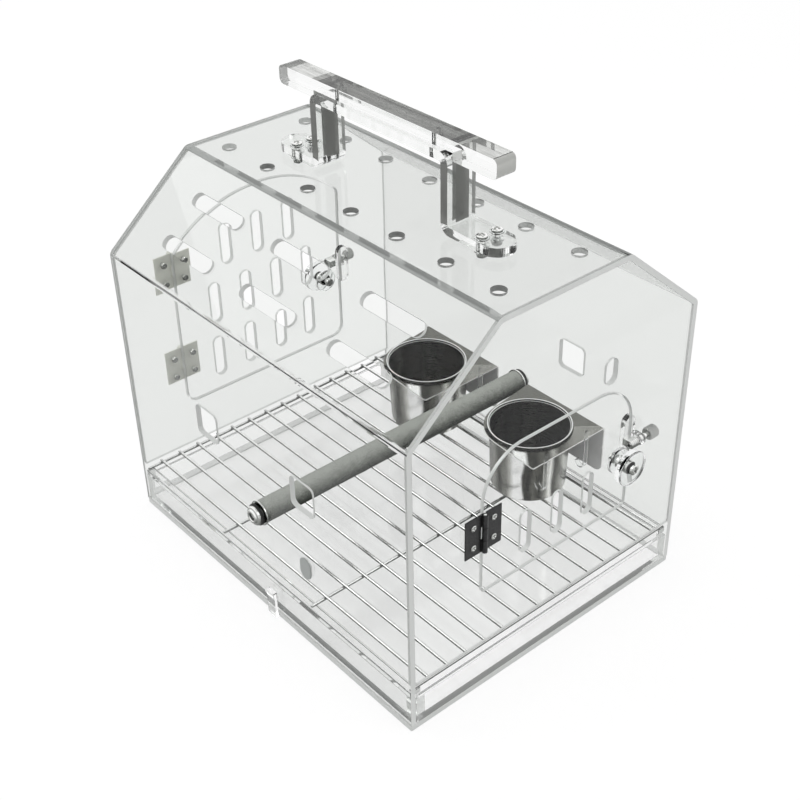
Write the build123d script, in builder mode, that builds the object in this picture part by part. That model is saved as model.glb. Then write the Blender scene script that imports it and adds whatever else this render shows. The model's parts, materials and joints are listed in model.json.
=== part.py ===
from build123d import *
import os
from math import atan, degrees

os.makedirs("parts", exist_ok=True)

# Bird travel carrier: a cabin of clear acrylic sheet with a hinged door in each end, a perch,
# two hanging cups, a wire grate over a drip tray, and a carrying handle on the roof.
# Millimetres. X runs along the cabin, Y from the front wall to the back wall, Z up.
# The origin is the middle of the base plate's underside.

# ---- cabin -----------------------------------------------------------------------------------
length = 406.0  # end to end
width = 321.0  # over the front and back walls
eave_height = 285.5  # where a wall turns into its slope
roof_height = 362.0  # top of the roof
roof_width = 140.0  # flat of the roof
wall = 5.0  # acrylic sheet
bend_radius = 3.0  # inside of the heat bends
base_thickness = 6.0
base_corner = 0.8
glue_line = 0.1  # cement between two sheets
seat_gap = 0.3  # between a loose piece and what carries it
screw_clearance = 0.15  # round the shank of a screw

# ---- air holes, vents and ports in the shell ---------------------------------------------------
air_hole = 13.0
air_holes_in_row = 7
air_hole_pitch = 57.7
air_row_spacing = 86.0
vent_length = 71.0
vent_width = 14.0
vent_columns = 3
vent_pitch = 115.75
vent_row_spacing = 45.0
port_size = 31.0
port_corner = 5.0
port_height = 167.5
port_x = 69.0
plug_width = 12.0
plug_length = 19.0
plug_x = 68.0
plug_height = 90.0
plug_lip = 1.5
plug_proud = 1.2
plug_edge = 0.8

# ---- tray, grate and the gap they slide in -----------------------------------------------------
tray_height = 28.0
tray_wall = 4.0
tray_floor = 3.0
tray_side_gap = 0.8
tray_corner = 0.6
panel_bottom = 50.0  # lower edge of both end panels
rail_width = 8.0
rail_thickness = 5.5
rail_top = 41.5
rail_setback = 3.0
wire = 3.0
wire_count = 14
wire_spacing = 21.3
wire_end_gap = 3.0
cross_wire_x = 67.0
grate_side_gap = 1.0
stop_width = 12.0
stop_height = 28.0
stop_thickness = 3.0
stop_x = 13.0
stop_lip = 4.0
stop_lip_depth = 1.5
stop_corner = 1.2

# ---- doors -------------------------------------------------------------------------------------
door_gap = 1.2  # all round a closed door
big_door_y = -2.5
big_door_width = 192.0
big_door_bottom = 98.0
big_door_arch_height = 262.0  # where the sides turn into the arch
big_door_top = 301.0
big_door_low_corner = 11.0
big_door_high_corner = 8.0
small_door_y = 2.25
small_door_width = 170.5
small_door_bottom = 108.0
small_door_top = 239.0
small_door_low_corner = 4.0
small_door_high_corner = 42.0
slot_length = 43.5
slot_width = 12.0
slot_pitch = 36.7
big_door_low_row = 135.0
slot_row_spacing = 58.4
small_door_row = 145.0
keyhole_y = 57.5
keyhole_height = 259.5
keyhole_length = 25.0
keyhole_width = 14.0

# ---- butt hinges -------------------------------------------------------------------------------
leaf_thickness = 1.2
knuckle_radius = 2.45
pin_radius = 1.2
pin_clearance = 0.05
knuckle_gap = 0.3
small_hinge_height = 38.0
small_hinge_width = 39.0
small_hinge_z = 172.0
big_hinge_height = 36.0
big_hinge_width = 37.0
big_hinge_low_z = 143.5
big_hinge_high_z = 244.0
hinge_screw_radius = 1.5
hinge_head_radius = 2.9
hinge_head_height = 1.3
head_taper = 25.0  # degrees, on the side of a screw's head
hinge_nut_flats = 5.5
hinge_nut_height = 2.2
hinge_screw_spacing = 20.0

# ---- door knobs, door stops and slide bolts ----------------------------------------------------
knob_inset = 15.0  # from the door's free edge
knob_disc = 33.0
knob_disc_thickness = 7.0
knob_disc_edge = 1.5
back_disc = 24.0
back_disc_thickness = 3.5
back_disc_edge = 1.0
knob_spacer = 12.0
knob_spacer_length = 8.5
knob_screw_radius = 2.5
knob_head_radius = 5.0
knob_head_height = 3.0
knob_nut_flats = 8.0
knob_nut_height = 3.2
knob_below_bolt = 16.0
small_bolt_z = 180.0
big_bolt_z = 181.0
bolt_out = 7.0  # bolt's axis from the panel's outer face
bolt_radius = 2.5
bolt_clearance = 0.08
bolt_travel = 6.0
bolt_tip_proud = 0.8  # tip past its guide when withdrawn
bolt_tip_chamfer = 0.6
guide_edge_gap = 1.5  # from the door's free edge
guide_width = 6.0
guide_height = 9.0
guide_depth = 11.5
guide_corner = 3.0
keeper_length = 8.0
keeper_radius = 4.5
keeper_rib = 0.6
keeper_ribs = 4
keeper_foot = 7.0
keeper_edge_gap = 1.0
bolt_knob = 12.0
bolt_knob_length = 10.0
bolt_knob_depth = 7.0  # how far the bolt enters its knob
bolt_knob_edge = 1.0
stop_plate_length = 40.0
stop_plate_width = 13.0
stop_plate_thickness = 5.0
stop_plate_lap = 4.5  # over the door's free edge
small_stop_z = 179.5
big_stop_z = 181.5

# ---- perch -------------------------------------------------------------------------------------
perch_diameter = 22.0
perch_height = 108.0
perch_seat = 24.0
perch_seat_thickness = 1.5
perch_bolt = 8.0
perch_bolt_depth = 20.0
perch_head = 18.5
perch_head_height = 5.0
perch_head_rim = 0.6  # straight part under the dome
perch_washer = 21.0
perch_washer_thickness = 2.0
perch_washer_edge = 0.8

# ---- cups and their holders --------------------------------------------------------------------
cup_x = (-76.5, 66.5)
cup_setback = 49.5  # from a cup's axis to the back wall's inner face
cup_top_radius = 39.3
cup_bottom_radius = 36.3
cup_height = 66.0
cup_wall = 1.0
cup_corner = 4.0
cup_bead = 1.2  # radius of the rolled rim
holder_top = 112.5
holder_sheet = 1.5
holder_bend = 1.5
holder_ring_radius = 43.5
holder_hole_gap = 0.5
holder_half_width = 50.0
holder_front_corner = 46.0  # from the cup's axis to the front corner, along Y
holder_corner = 2.0
flange_bottom = 60.0
flange_corner = 8.0
holder_screw_x = 15.0
holder_screw_z = 85.0
holder_screw_radius = 2.0
holder_head_radius = 3.6
holder_head_height = 2.2
holder_nut_flats = 7.0
holder_nut_height = 5.0
holder_nut_rim = 0.3  # flat left round the dome and at its top
clip_width = 5.0
clip_sheet = 1.2
clip_rise = 9.0
clip_drop = 34.0
clip_hook = 5.0
clip_tip_flat = 0.4
clip_behind = 23.5  # behind and before a cup's axis
clip_before = 30.0

# ---- handle ------------------------------------------------------------------------------------
bar_length = 269.0
bar_width = 20.0
bar_height = 17.0
bar_corner = 5.0  # seen from the side
bar_notch_depth = 7.0  # let up round the strap's run
bar_notch_clearance = 0.3  # at each end of the run
strap_width = 30.0
strap_thickness = 8.0
strap_leg_x = 86.0  # outer face of each leg
strap_foot_x = 141.5  # end of each foot
strap_top = 431.0
strap_bend = 2.0
strap_foot_corner = 14.0
handle_bolt_x = 118.0
handle_bolt_y = 8.0
handle_bolt_radius = 2.5
handle_head_radius = 4.6
handle_head_height = 3.4
handle_head_rim = 0.5
handle_washer_radius = 6.0
handle_washer_thickness = 1.2
handle_nut_flats = 8.0
handle_nut_height = 4.0
handle_bolt_proud = 1.0  # of its nut
bar_screw_x = 60.0
bar_screw_radius = 2.0
bar_screw_depth = 7.0
bar_screw_head_radius = 3.8
bar_screw_head_height = 2.4

# ---- values worked out from the sizes above ------------------------------------------------------
near = 1  # the end with the small door, at +X
far = -1  # the end with the big door, at -X
inside_y = width / 2 - wall
cup_y = inside_y - cup_setback
slope_run = (width - roof_width) / 2
slope_rise = roof_height - eave_height
hinge_out = knuckle_radius + seat_gap  # hinge axis from the panel's outer face
small_hinge_y = small_door_y - small_door_width / 2 - door_gap / 2
big_hinge_y = big_door_y - big_door_width / 2 - door_gap / 2
small_edge_y = small_door_y + small_door_width / 2
big_edge_y = big_door_y + big_door_width / 2
front_wall = Plane.XZ.offset(width / 2)
back_wall = Plane.XZ.offset(-width / 2)


def end_plane(end, out):
    """Plane across the cabin at one end, out from its outer face; its x is Y and its y is Z."""
    return Plane.YZ.offset(end * (length / 2 + out))


def cabin_section(inset, floor):
    """Section across the cabin, inset from its outer skin, with its flat foot at floor."""
    with BuildSketch() as section:
        with BuildLine():
            Polyline(
                (-width / 2, floor - inset),
                (-width / 2, eave_height),
                (-roof_width / 2, roof_height),
                (roof_width / 2, roof_height),
                (width / 2, eave_height),
                (width / 2, floor - inset),
                close=True,
            )
        make_face()
        bends = section.vertices().filter_by(lambda v: v.Y > floor + wall)
        fillet(bends, radius=wall + bend_radius)
        if inset > 0:
            offset(amount=-inset)
    return section.sketch


# ---- base plate --------------------------------------------------------------------------------
with BuildPart() as base_plate:
    with BuildSketch():
        Rectangle(length, width)
    extrude(amount=base_thickness)
    chamfer(base_plate.edges().filter_by(Axis.Z), length=base_corner)
base_plate.part.label = "base_plate"
export_step(base_plate.part, "parts/base_plate.step")

# ---- body shell: one sheet bent into walls, slopes and roof ----------------------------------------
skin_section = cabin_section(0, base_thickness)
space_section = cabin_section(wall, 0)
front_slope = Plane(
    origin=(0, -(width + roof_width) / 4, (eave_height + roof_height) / 2),
    x_dir=(1, 0, 0),
    z_dir=(0, -slope_rise, slope_run),
)
with BuildPart() as body_shell:
    with BuildSketch(Plane.YZ):
        add(skin_section)
        add(space_section, mode=Mode.SUBTRACT)
    extrude(amount=length / 2, both=True)
    with BuildSketch(Plane.XY.offset(roof_height)):
        with GridLocations(air_hole_pitch, air_row_spacing, air_holes_in_row, 2):
            Circle(air_hole / 2)
        for side in (-1, 1):
            with Locations((side * handle_bolt_x, handle_bolt_y), (side * handle_bolt_x, -handle_bolt_y)):
                Circle(handle_bolt_radius + screw_clearance)
    extrude(amount=-2 * wall, mode=Mode.SUBTRACT)
    with BuildSketch(front_slope):
        with GridLocations(vent_pitch, vent_row_spacing, vent_columns, 2):
            SlotOverall(vent_length, vent_width)
    extrude(amount=-2 * wall, mode=Mode.SUBTRACT)
    with BuildSketch(front_wall):
        with Locations((-port_x, port_height), (port_x, port_height)):
            RectangleRounded(port_size, port_size, port_corner)
        with Locations((plug_x, plug_height)):
            SlotOverall(plug_length, plug_width, rotation=90)
        with Locations((0, perch_height)):
            Circle(perch_bolt / 2 + screw_clearance)
    extrude(amount=-2 * wall, mode=Mode.SUBTRACT)
    with BuildSketch(back_wall):
        with Locations((port_x, port_height)):
            RectangleRounded(port_size, port_size, port_corner)
        with Locations((0, perch_height)):
            Circle(perch_bolt / 2 + screw_clearance)
        for x in cup_x:
            with Locations((x - holder_screw_x, holder_screw_z), (x + holder_screw_x, holder_screw_z)):
                Circle(holder_screw_radius + screw_clearance)
    extrude(amount=2 * wall, mode=Mode.SUBTRACT)
body_shell.part.label = "body_shell"
export_step(body_shell.part, "parts/body_shell.step")


# ---- door outlines, seen from +X: x is Y and y is Z ------------------------------------------------
def big_door_outline(grow):
    """Arched outline of the big door, grown by grow on every side."""
    half = big_door_width / 2
    with BuildSketch() as outline:
        with BuildLine():
            Polyline(
                (big_door_y - half, big_door_arch_height),
                (big_door_y - half, big_door_bottom),
                (big_door_y + half, big_door_bottom),
                (big_door_y + half, big_door_arch_height),
            )
            ThreePointArc(
                (big_door_y + half, big_door_arch_height),
                (big_door_y, big_door_top),
                (big_door_y - half, big_door_arch_height),
            )
        make_face()
        fillet(outline.vertices().group_by(Axis.Y)[0], radius=big_door_low_corner)
        fillet(outline.vertices().group_by(Axis.Y)[-1], radius=big_door_high_corner)
        if grow > 0:
            offset(amount=grow)
    return outline.sketch


def small_door_outline(grow):
    """Outline of the small door with its large upper corners, grown by grow on every side."""
    with BuildSketch() as outline:
        with Locations((small_door_y, (small_door_bottom + small_door_top) / 2)):
            Rectangle(small_door_width, small_door_top - small_door_bottom)
        fillet(outline.vertices().group_by(Axis.Y)[0], radius=small_door_low_corner)
        fillet(outline.vertices().group_by(Axis.Y)[-1], radius=small_door_high_corner)
        if grow > 0:
            offset(amount=grow)
    return outline.sketch


def hinge_screw_places(hinge_y, hinge_z, leaf_width, side):
    """Where the two screws of one hinge leaf go, as (y, z) pairs."""
    y = hinge_y + side * (leaf_width + knuckle_radius) / 2
    return [(y, hinge_z - hinge_screw_spacing / 2), (y, hinge_z + hinge_screw_spacing / 2)]


small_leaf = small_hinge_width / 2
big_leaf = big_hinge_width / 2
frame_side = -1
door_side = 1
small_frame_screws = hinge_screw_places(small_hinge_y, small_hinge_z, small_leaf, frame_side)
small_door_screws = hinge_screw_places(small_hinge_y, small_hinge_z, small_leaf, door_side)
big_frame_screws = []
big_door_screws = []
for hinge_z in (big_hinge_low_z, big_hinge_high_z):
    big_frame_screws += hinge_screw_places(big_hinge_y, hinge_z, big_leaf, frame_side)
    big_door_screws += hinge_screw_places(big_hinge_y, hinge_z, big_leaf, door_side)

# ---- end panels --------------------------------------------------------------------------------
panel_section = cabin_section(wall + glue_line, panel_bottom)
big_opening = big_door_outline(door_gap)
small_opening = small_door_outline(door_gap)
with BuildPart() as big_door_end_panel:
    with BuildSketch(end_plane(far, 0)):
        add(panel_section)
        add(big_opening, mode=Mode.SUBTRACT)
        with Locations(*big_frame_screws):
            Circle(hinge_screw_radius + screw_clearance, mode=Mode.SUBTRACT)
    extrude(amount=-far * wall)
big_door_end_panel.part.label = "big_door_end_panel"
export_step(big_door_end_panel.part, "parts/big_door_end_panel.step")

with BuildPart() as small_door_end_panel:
    with BuildSketch(end_plane(near, 0)):
        add(panel_section)
        add(small_opening, mode=Mode.SUBTRACT)
        with Locations(*small_frame_screws):
            Circle(hinge_screw_radius + screw_clearance, mode=Mode.SUBTRACT)
        with Locations((keyhole_y, keyhole_height)):
            SlotOverall(keyhole_length, keyhole_width, rotation=90, mode=Mode.SUBTRACT)
    extrude(amount=-near * wall)
small_door_end_panel.part.label = "small_door_end_panel"
export_step(small_door_end_panel.part, "parts/small_door_end_panel.step")

# ---- doors ---------------------------------------------------------------------------------------
big_outline = big_door_outline(0)
small_outline = small_door_outline(0)
big_knob_z = big_bolt_z - knob_below_bolt
small_knob_z = small_bolt_z - knob_below_bolt
with BuildPart() as big_door:
    with BuildSketch(end_plane(far, 0)):
        add(big_outline)
        for row, slots in enumerate((4, 4, 3)):
            with Locations((big_door_y, big_door_low_row + row * slot_row_spacing)):
                with GridLocations(slot_pitch, slot_pitch, slots, 1):
                    SlotOverall(slot_length, slot_width, rotation=90, mode=Mode.SUBTRACT)
        with Locations(*big_door_screws):
            Circle(hinge_screw_radius + screw_clearance, mode=Mode.SUBTRACT)
        with Locations((big_edge_y - knob_inset, big_knob_z)):
            Circle(knob_screw_radius + screw_clearance, mode=Mode.SUBTRACT)
    extrude(amount=-far * wall)
big_door.part.label = "big_door"
export_step(big_door.part, "parts/big_door.step")

with BuildPart() as small_door:
    with BuildSketch(end_plane(near, 0)):
        add(small_outline)
        with Locations((small_door_y, small_door_row)):
            with GridLocations(slot_pitch, slot_pitch, 3, 1):
                SlotOverall(slot_length, slot_width, rotation=90, mode=Mode.SUBTRACT)
        with Locations(*small_door_screws):
            Circle(hinge_screw_radius + screw_clearance, mode=Mode.SUBTRACT)
        with Locations((small_edge_y - knob_inset, small_knob_z)):
            Circle(knob_screw_radius + screw_clearance, mode=Mode.SUBTRACT)
    extrude(amount=-near * wall)
small_door.part.label = "small_door"
export_step(small_door.part, "parts/small_door.step")


# ---- butt hinges ---------------------------------------------------------------------------------
def hinge_leaf(end, hinge_y, hinge_z, height, leaf_width, side, screws):
    """One leaf with its knuckles: two outer knuckles on the frame's side, the middle one on the door's."""
    third = height / 3
    start = hinge_z - height / 2
    if side == frame_side:
        tall = third - knuckle_gap / 2
        knuckles = [(start, tall), (start + height - tall, tall)]
    else:
        knuckles = [(start + third + knuckle_gap / 2, third - knuckle_gap)]
    inner_y = knuckle_radius + knuckle_gap
    axis_x = end * (length / 2 + hinge_out)
    web_x = end * (length / 2 + leaf_thickness / 2)
    with BuildPart() as leaf:
        with BuildSketch(end_plane(end, 0)):
            with Locations((hinge_y + side * (inner_y + leaf_width) / 2, hinge_z)):
                Rectangle(leaf_width - inner_y, height)
            with Locations(*screws):
                Circle(hinge_screw_radius + screw_clearance, mode=Mode.SUBTRACT)
        extrude(amount=end * leaf_thickness)
        for bottom, tall in knuckles:
            with BuildSketch(Plane.XY.offset(bottom)):
                with Locations((web_x, hinge_y + side * inner_y / 2)):
                    Rectangle(leaf_thickness, inner_y)
                with Locations((axis_x, hinge_y)):
                    Circle(knuckle_radius)
                    Circle(pin_radius + pin_clearance, mode=Mode.SUBTRACT)
            extrude(amount=tall)
    return leaf.part


def hinge_pin(end, hinge_y, hinge_z, height):
    """Pin through the three knuckles of one hinge."""
    with BuildPart() as pin:
        with BuildSketch(Plane.XY.offset(hinge_z - height / 2)):
            with Locations((end * (length / 2 + hinge_out), hinge_y)):
                Circle(pin_radius)
        extrude(amount=height)
    return pin.part


def hinge_screws(end, places):
    """Pan-head screws through one or more leaves and the sheet behind them."""
    with BuildPart() as screws:
        with BuildSketch(end_plane(end, leaf_thickness)):
            with Locations(*places):
                Circle(hinge_head_radius)
        extrude(amount=end * hinge_head_height, taper=head_taper)
        with BuildSketch(end_plane(end, leaf_thickness)):
            with Locations(*places):
                Circle(hinge_screw_radius)
        extrude(amount=-end * (leaf_thickness + wall + hinge_nut_height))
    return screws.part


def hinge_nuts(end, places):
    """Hexagon nuts on the inside of the sheet."""
    with BuildPart() as nuts:
        with BuildSketch(end_plane(end, -wall)):
            with Locations(*places):
                RegularPolygon(hinge_nut_flats / 2, 6, major_radius=False)
                Circle(hinge_screw_radius + screw_clearance, mode=Mode.SUBTRACT)
        extrude(amount=-end * hinge_nut_height)
    return nuts.part


small_frame_leaf = hinge_leaf(
    near, small_hinge_y, small_hinge_z, small_hinge_height, small_leaf, frame_side, small_frame_screws
)
small_frame_leaf.label = "small_door_hinge_frame_leaf"
export_step(small_frame_leaf, "parts/small_door_hinge_frame_leaf.step")
small_door_leaf = hinge_leaf(
    near, small_hinge_y, small_hinge_z, small_hinge_height, small_leaf, door_side, small_door_screws
)
small_door_leaf.label = "small_door_hinge_door_leaf"
export_step(small_door_leaf, "parts/small_door_hinge_door_leaf.step")
small_pin = hinge_pin(near, small_hinge_y, small_hinge_z, small_hinge_height)
small_pin.label = "small_door_hinge_pin"
export_step(small_pin, "parts/small_door_hinge_pin.step")

frame_leaf_pair = []
door_leaf_pair = []
pin_pair = []
for place, hinge_z in enumerate((big_hinge_low_z, big_hinge_high_z)):
    frame_holes = big_frame_screws[2 * place : 2 * place + 2]
    door_holes = big_door_screws[2 * place : 2 * place + 2]
    frame_leaf_pair.append(
        hinge_leaf(far, big_hinge_y, hinge_z, big_hinge_height, big_leaf, frame_side, frame_holes)
    )
    door_leaf_pair.append(
        hinge_leaf(far, big_hinge_y, hinge_z, big_hinge_height, big_leaf, door_side, door_holes)
    )
    pin_pair.append(hinge_pin(far, big_hinge_y, hinge_z, big_hinge_height))
with BuildPart() as big_frame_leaves:
    add(frame_leaf_pair)
big_frame_leaves.part.label = "big_door_hinge_frame_leaves"
export_step(big_frame_leaves.part, "parts/big_door_hinge_frame_leaves.step")
with BuildPart() as big_door_leaves:
    add(door_leaf_pair)
big_door_leaves.part.label = "big_door_hinge_door_leaves"
export_step(big_door_leaves.part, "parts/big_door_hinge_door_leaves.step")
with BuildPart() as big_pins:
    add(pin_pair)
big_pins.part.label = "big_door_hinge_pins"
export_step(big_pins.part, "parts/big_door_hinge_pins.step")

frame_screw_groups = [hinge_screws(far, big_frame_screws), hinge_screws(near, small_frame_screws)]
frame_nut_groups = [hinge_nuts(far, big_frame_screws), hinge_nuts(near, small_frame_screws)]
with BuildPart() as hinge_frame_screws:
    add(frame_screw_groups)
hinge_frame_screws.part.label = "hinge_frame_screws"
export_step(hinge_frame_screws.part, "parts/hinge_frame_screws.step")
with BuildPart() as hinge_frame_nuts:
    add(frame_nut_groups)
hinge_frame_nuts.part.label = "hinge_frame_nuts"
export_step(hinge_frame_nuts.part, "parts/hinge_frame_nuts.step")
for name, end, places in (("big", far, big_door_screws), ("small", near, small_door_screws)):
    door_screws = hinge_screws(end, places)
    door_screws.label = f"{name}_door_hinge_screws"
    export_step(door_screws, f"parts/{door_screws.label}.step")
    door_nuts = hinge_nuts(end, places)
    door_nuts.label = f"{name}_door_hinge_nuts"
    export_step(door_nuts, f"parts/{door_nuts.label}.step")

# ---- knob, stop plate and slide bolt at each door's free edge ----------------------------------------
free_edges = (
    ("big", far, big_edge_y, big_bolt_z, big_stop_z),
    ("small", near, small_edge_y, small_bolt_z, small_stop_z),
)
stop_plates = []
guides = []
for name, end, edge_y, bolt_z, stop_z in free_edges:
    knob_place = (edge_y - knob_inset, bolt_z - knob_below_bolt)
    bolt_x = end * (length / 2 + bolt_out)
    knob_bore = knob_screw_radius + screw_clearance
    disc_back = back_disc_thickness + knob_spacer_length
    disc_front = disc_back + knob_disc_thickness

    # clear finger disc, the outer flange of the knob
    with BuildPart() as disc:
        with BuildSketch(end_plane(end, disc_back)):
            with Locations(knob_place):
                Circle(knob_disc / 2)
                Circle(knob_bore, mode=Mode.SUBTRACT)
        extrude(amount=end * knob_disc_thickness)
        rims = disc.edges().filter_by(GeomType.CIRCLE).filter_by(lambda e: e.radius > knob_bore)
        fillet(rims, radius=knob_disc_edge)
    disc.part.label = f"{name}_door_knob_disc"
    export_step(disc.part, f"parts/{disc.part.label}.step")

    # chrome spacer between the knob's two discs
    with BuildPart() as spacer:
        with BuildSketch(end_plane(end, back_disc_thickness)):
            with Locations(knob_place):
                Circle(knob_spacer / 2)
                Circle(knob_bore, mode=Mode.SUBTRACT)
        extrude(amount=end * knob_spacer_length)
    spacer.part.label = f"{name}_door_knob_spacer"
    export_step(spacer.part, f"parts/{spacer.part.label}.step")

    # smaller clear disc against the door
    with BuildPart() as inner_disc:
        with BuildSketch(end_plane(end, 0)):
            with Locations(knob_place):
                Circle(back_disc / 2)
                Circle(knob_bore, mode=Mode.SUBTRACT)
        extrude(amount=end * back_disc_thickness)
        outer_face = inner_disc.faces().sort_by(Axis.X)[-1 if end == near else 0]
        fillet(outer_face.outer_wire().edges(), radius=back_disc_edge)
    inner_disc.part.label = f"{name}_door_knob_back_disc"
    export_step(inner_disc.part, f"parts/{inner_disc.part.label}.step")

    # screw through both discs and the door, with its nut inside
    with BuildPart() as knob_screw:
        with BuildSketch(end_plane(end, disc_front)):
            with Locations(knob_place):
                Circle(knob_head_radius)
        extrude(amount=end * knob_head_height, taper=head_taper)
        with BuildSketch(end_plane(end, disc_front)):
            with Locations(knob_place):
                Circle(knob_screw_radius)
        extrude(amount=-end * (disc_front + wall + knob_nut_height))
    knob_screw.part.label = f"{name}_door_knob_screw"
    export_step(knob_screw.part, f"parts/{knob_screw.part.label}.step")
    with BuildPart() as knob_nut:
        with BuildSketch(end_plane(end, -wall)):
            with Locations(knob_place):
                RegularPolygon(knob_nut_flats / 2, 6, major_radius=False)
                Circle(knob_bore, mode=Mode.SUBTRACT)
        extrude(amount=-end * knob_nut_height)
    knob_nut.part.label = f"{name}_door_knob_nut"
    export_step(knob_nut.part, f"parts/{knob_nut.part.label}.step")

    # clear obround plate inside the end panel, lapping behind the door's free edge
    with BuildPart() as stop_plate:
        with BuildSketch(end_plane(end, -wall)):
            with Locations((edge_y - stop_plate_lap + stop_plate_width / 2, stop_z)):
                SlotOverall(stop_plate_length, stop_plate_width, rotation=90)
        extrude(amount=-end * stop_plate_thickness)
    stop_plates.append(stop_plate.part)

    # clear guide block on the panel, bored for the bolt
    guide_plane = Plane.XZ.offset(-(edge_y + guide_edge_gap + guide_width))
    with BuildPart() as guide:
        with BuildSketch(guide_plane):
            with Locations((end * (length / 2 + guide_depth / 2), bolt_z)):
                Rectangle(guide_depth, guide_height)
            with Locations((bolt_x, bolt_z)):
                Circle(bolt_radius + bolt_clearance, mode=Mode.SUBTRACT)
        extrude(amount=guide_width)
        outer_face = guide.faces().sort_by(Axis.X)[-1 if end == near else 0]
        fillet(outer_face.edges().filter_by(Axis.Y), radius=guide_corner)
    guides.append(guide.part)

    # ribbed keeper barrel on the door
    keeper_end = edge_y - keeper_edge_gap
    rib_pitch = keeper_length / keeper_ribs
    with BuildPart() as keeper:
        with BuildSketch(Plane.XZ.offset(-keeper_end)):
            with Locations((bolt_x, bolt_z)):
                Circle(keeper_radius - keeper_rib)
            with Locations((end * (length / 2 + bolt_out / 2), bolt_z)):
                Rectangle(bolt_out, keeper_foot)
        extrude(amount=keeper_length)
        for rib in range(keeper_ribs):
            with BuildSketch(Plane.XZ.offset(-keeper_end + rib * rib_pitch)):
                with Locations((bolt_x, bolt_z)):
                    Circle(keeper_radius)
            extrude(amount=rib_pitch / 2)
        with BuildSketch(Plane.XZ.offset(-keeper_end)):
            with Locations((bolt_x, bolt_z)):
                Circle(bolt_radius + bolt_clearance)
        extrude(amount=keeper_length, mode=Mode.SUBTRACT)
    keeper.part.label = f"{name}_bolt_keeper"
    export_step(keeper.part, f"parts/{keeper.part.label}.step")

    # steel bolt, drawn withdrawn: its tip just past the guide
    tip_y = edge_y + guide_edge_gap - bolt_tip_proud
    knob_y = edge_y + guide_edge_gap + guide_width + bolt_travel + seat_gap
    with BuildPart() as slide_bolt:
        with BuildSketch(Plane.XZ.offset(-tip_y)):
            with Locations((bolt_x, bolt_z)):
                Circle(bolt_radius)
        extrude(amount=-(knob_y + bolt_knob_depth - tip_y))
        chamfer(slide_bolt.edges().sort_by(Axis.Y)[0], length=bolt_tip_chamfer)
    slide_bolt.part.label = f"{name}_slide_bolt"
    export_step(slide_bolt.part, f"parts/{slide_bolt.part.label}.step")
    with BuildPart() as bolt_grip:
        with BuildSketch(Plane.XZ.offset(-knob_y)):
            with Locations((bolt_x, bolt_z)):
                Circle(bolt_knob / 2)
        extrude(amount=-bolt_knob_length)
        chamfer(bolt_grip.edges(), length=bolt_knob_edge)
        with BuildSketch(Plane.XZ.offset(-knob_y)):
            with Locations((bolt_x, bolt_z)):
                Circle(bolt_radius + glue_line)
        extrude(amount=-bolt_knob_depth, mode=Mode.SUBTRACT)
    bolt_grip.part.label = f"{name}_bolt_knob"
    export_step(bolt_grip.part, f"parts/{bolt_grip.part.label}.step")

with BuildPart() as door_stop_plates:
    add(stop_plates)
door_stop_plates.part.label = "door_stop_plates"
export_step(door_stop_plates.part, "parts/door_stop_plates.step")
with BuildPart() as bolt_guides:
    add(guides)
bolt_guides.part.label = "bolt_guides"
export_step(bolt_guides.part, "parts/bolt_guides.step")

# ---- perch and the two bolts it hangs on -----------------------------------------------------------
# The front half of each piece is built and mirrored to the back wall.
perch_end = inside_y - perch_seat_thickness
perch_bore = perch_bolt / 2 + screw_clearance
with BuildPart() as perch:
    with BuildSketch(Plane.XZ):
        with Locations((0, perch_height)):
            Circle(perch_diameter / 2)
    extrude(amount=perch_end)
    with BuildSketch(Plane.XZ.offset(perch_end)):
        with Locations((0, perch_height)):
            Circle(perch_bore)
    extrude(amount=-perch_bolt_depth, mode=Mode.SUBTRACT)
    mirror(about=Plane.XZ)
perch.part.label = "perch"
export_step(perch.part, "parts/perch.step")

with BuildPart() as perch_seats:
    with BuildSketch(Plane.XZ.offset(perch_end)):
        with Locations((0, perch_height)):
            Circle(perch_seat / 2)
            Circle(perch_bore, mode=Mode.SUBTRACT)
    extrude(amount=perch_seat_thickness)
    mirror(about=Plane.XZ)
perch_seats.part.label = "perch_seats"
export_step(perch_seats.part, "parts/perch_seats.step")

with BuildPart() as perch_washers:
    with BuildSketch(front_wall):
        with Locations((0, perch_height)):
            Circle(perch_washer / 2)
            Circle(perch_bore, mode=Mode.SUBTRACT)
    extrude(amount=perch_washer_thickness)
    fillet(perch_washers.faces().sort_by(Axis.Y)[0].outer_wire().edges(), radius=perch_washer_edge)
    mirror(about=Plane.XZ)
perch_washers.part.label = "perch_washers"
export_step(perch_washers.part, "parts/perch_washers.step")

with BuildPart() as perch_bolts:
    with BuildSketch(front_wall.offset(perch_washer_thickness)):
        with Locations((0, perch_height)):
            Circle(perch_head / 2)
    extrude(amount=perch_head_height)
    fillet(perch_bolts.edges().sort_by(Axis.Y)[0], radius=perch_head_height - perch_head_rim)
    with BuildSketch(front_wall.offset(perch_washer_thickness)):
        with Locations((0, perch_height)):
            Circle(perch_bolt / 2)
    shank_length = perch_washer_thickness + wall + perch_seat_thickness + perch_bolt_depth - seat_gap
    extrude(amount=-shank_length)
    mirror(about=Plane.XZ)
perch_bolts.part.label = "perch_bolts"
export_step(perch_bolts.part, "parts/perch_bolts.step")

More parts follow.
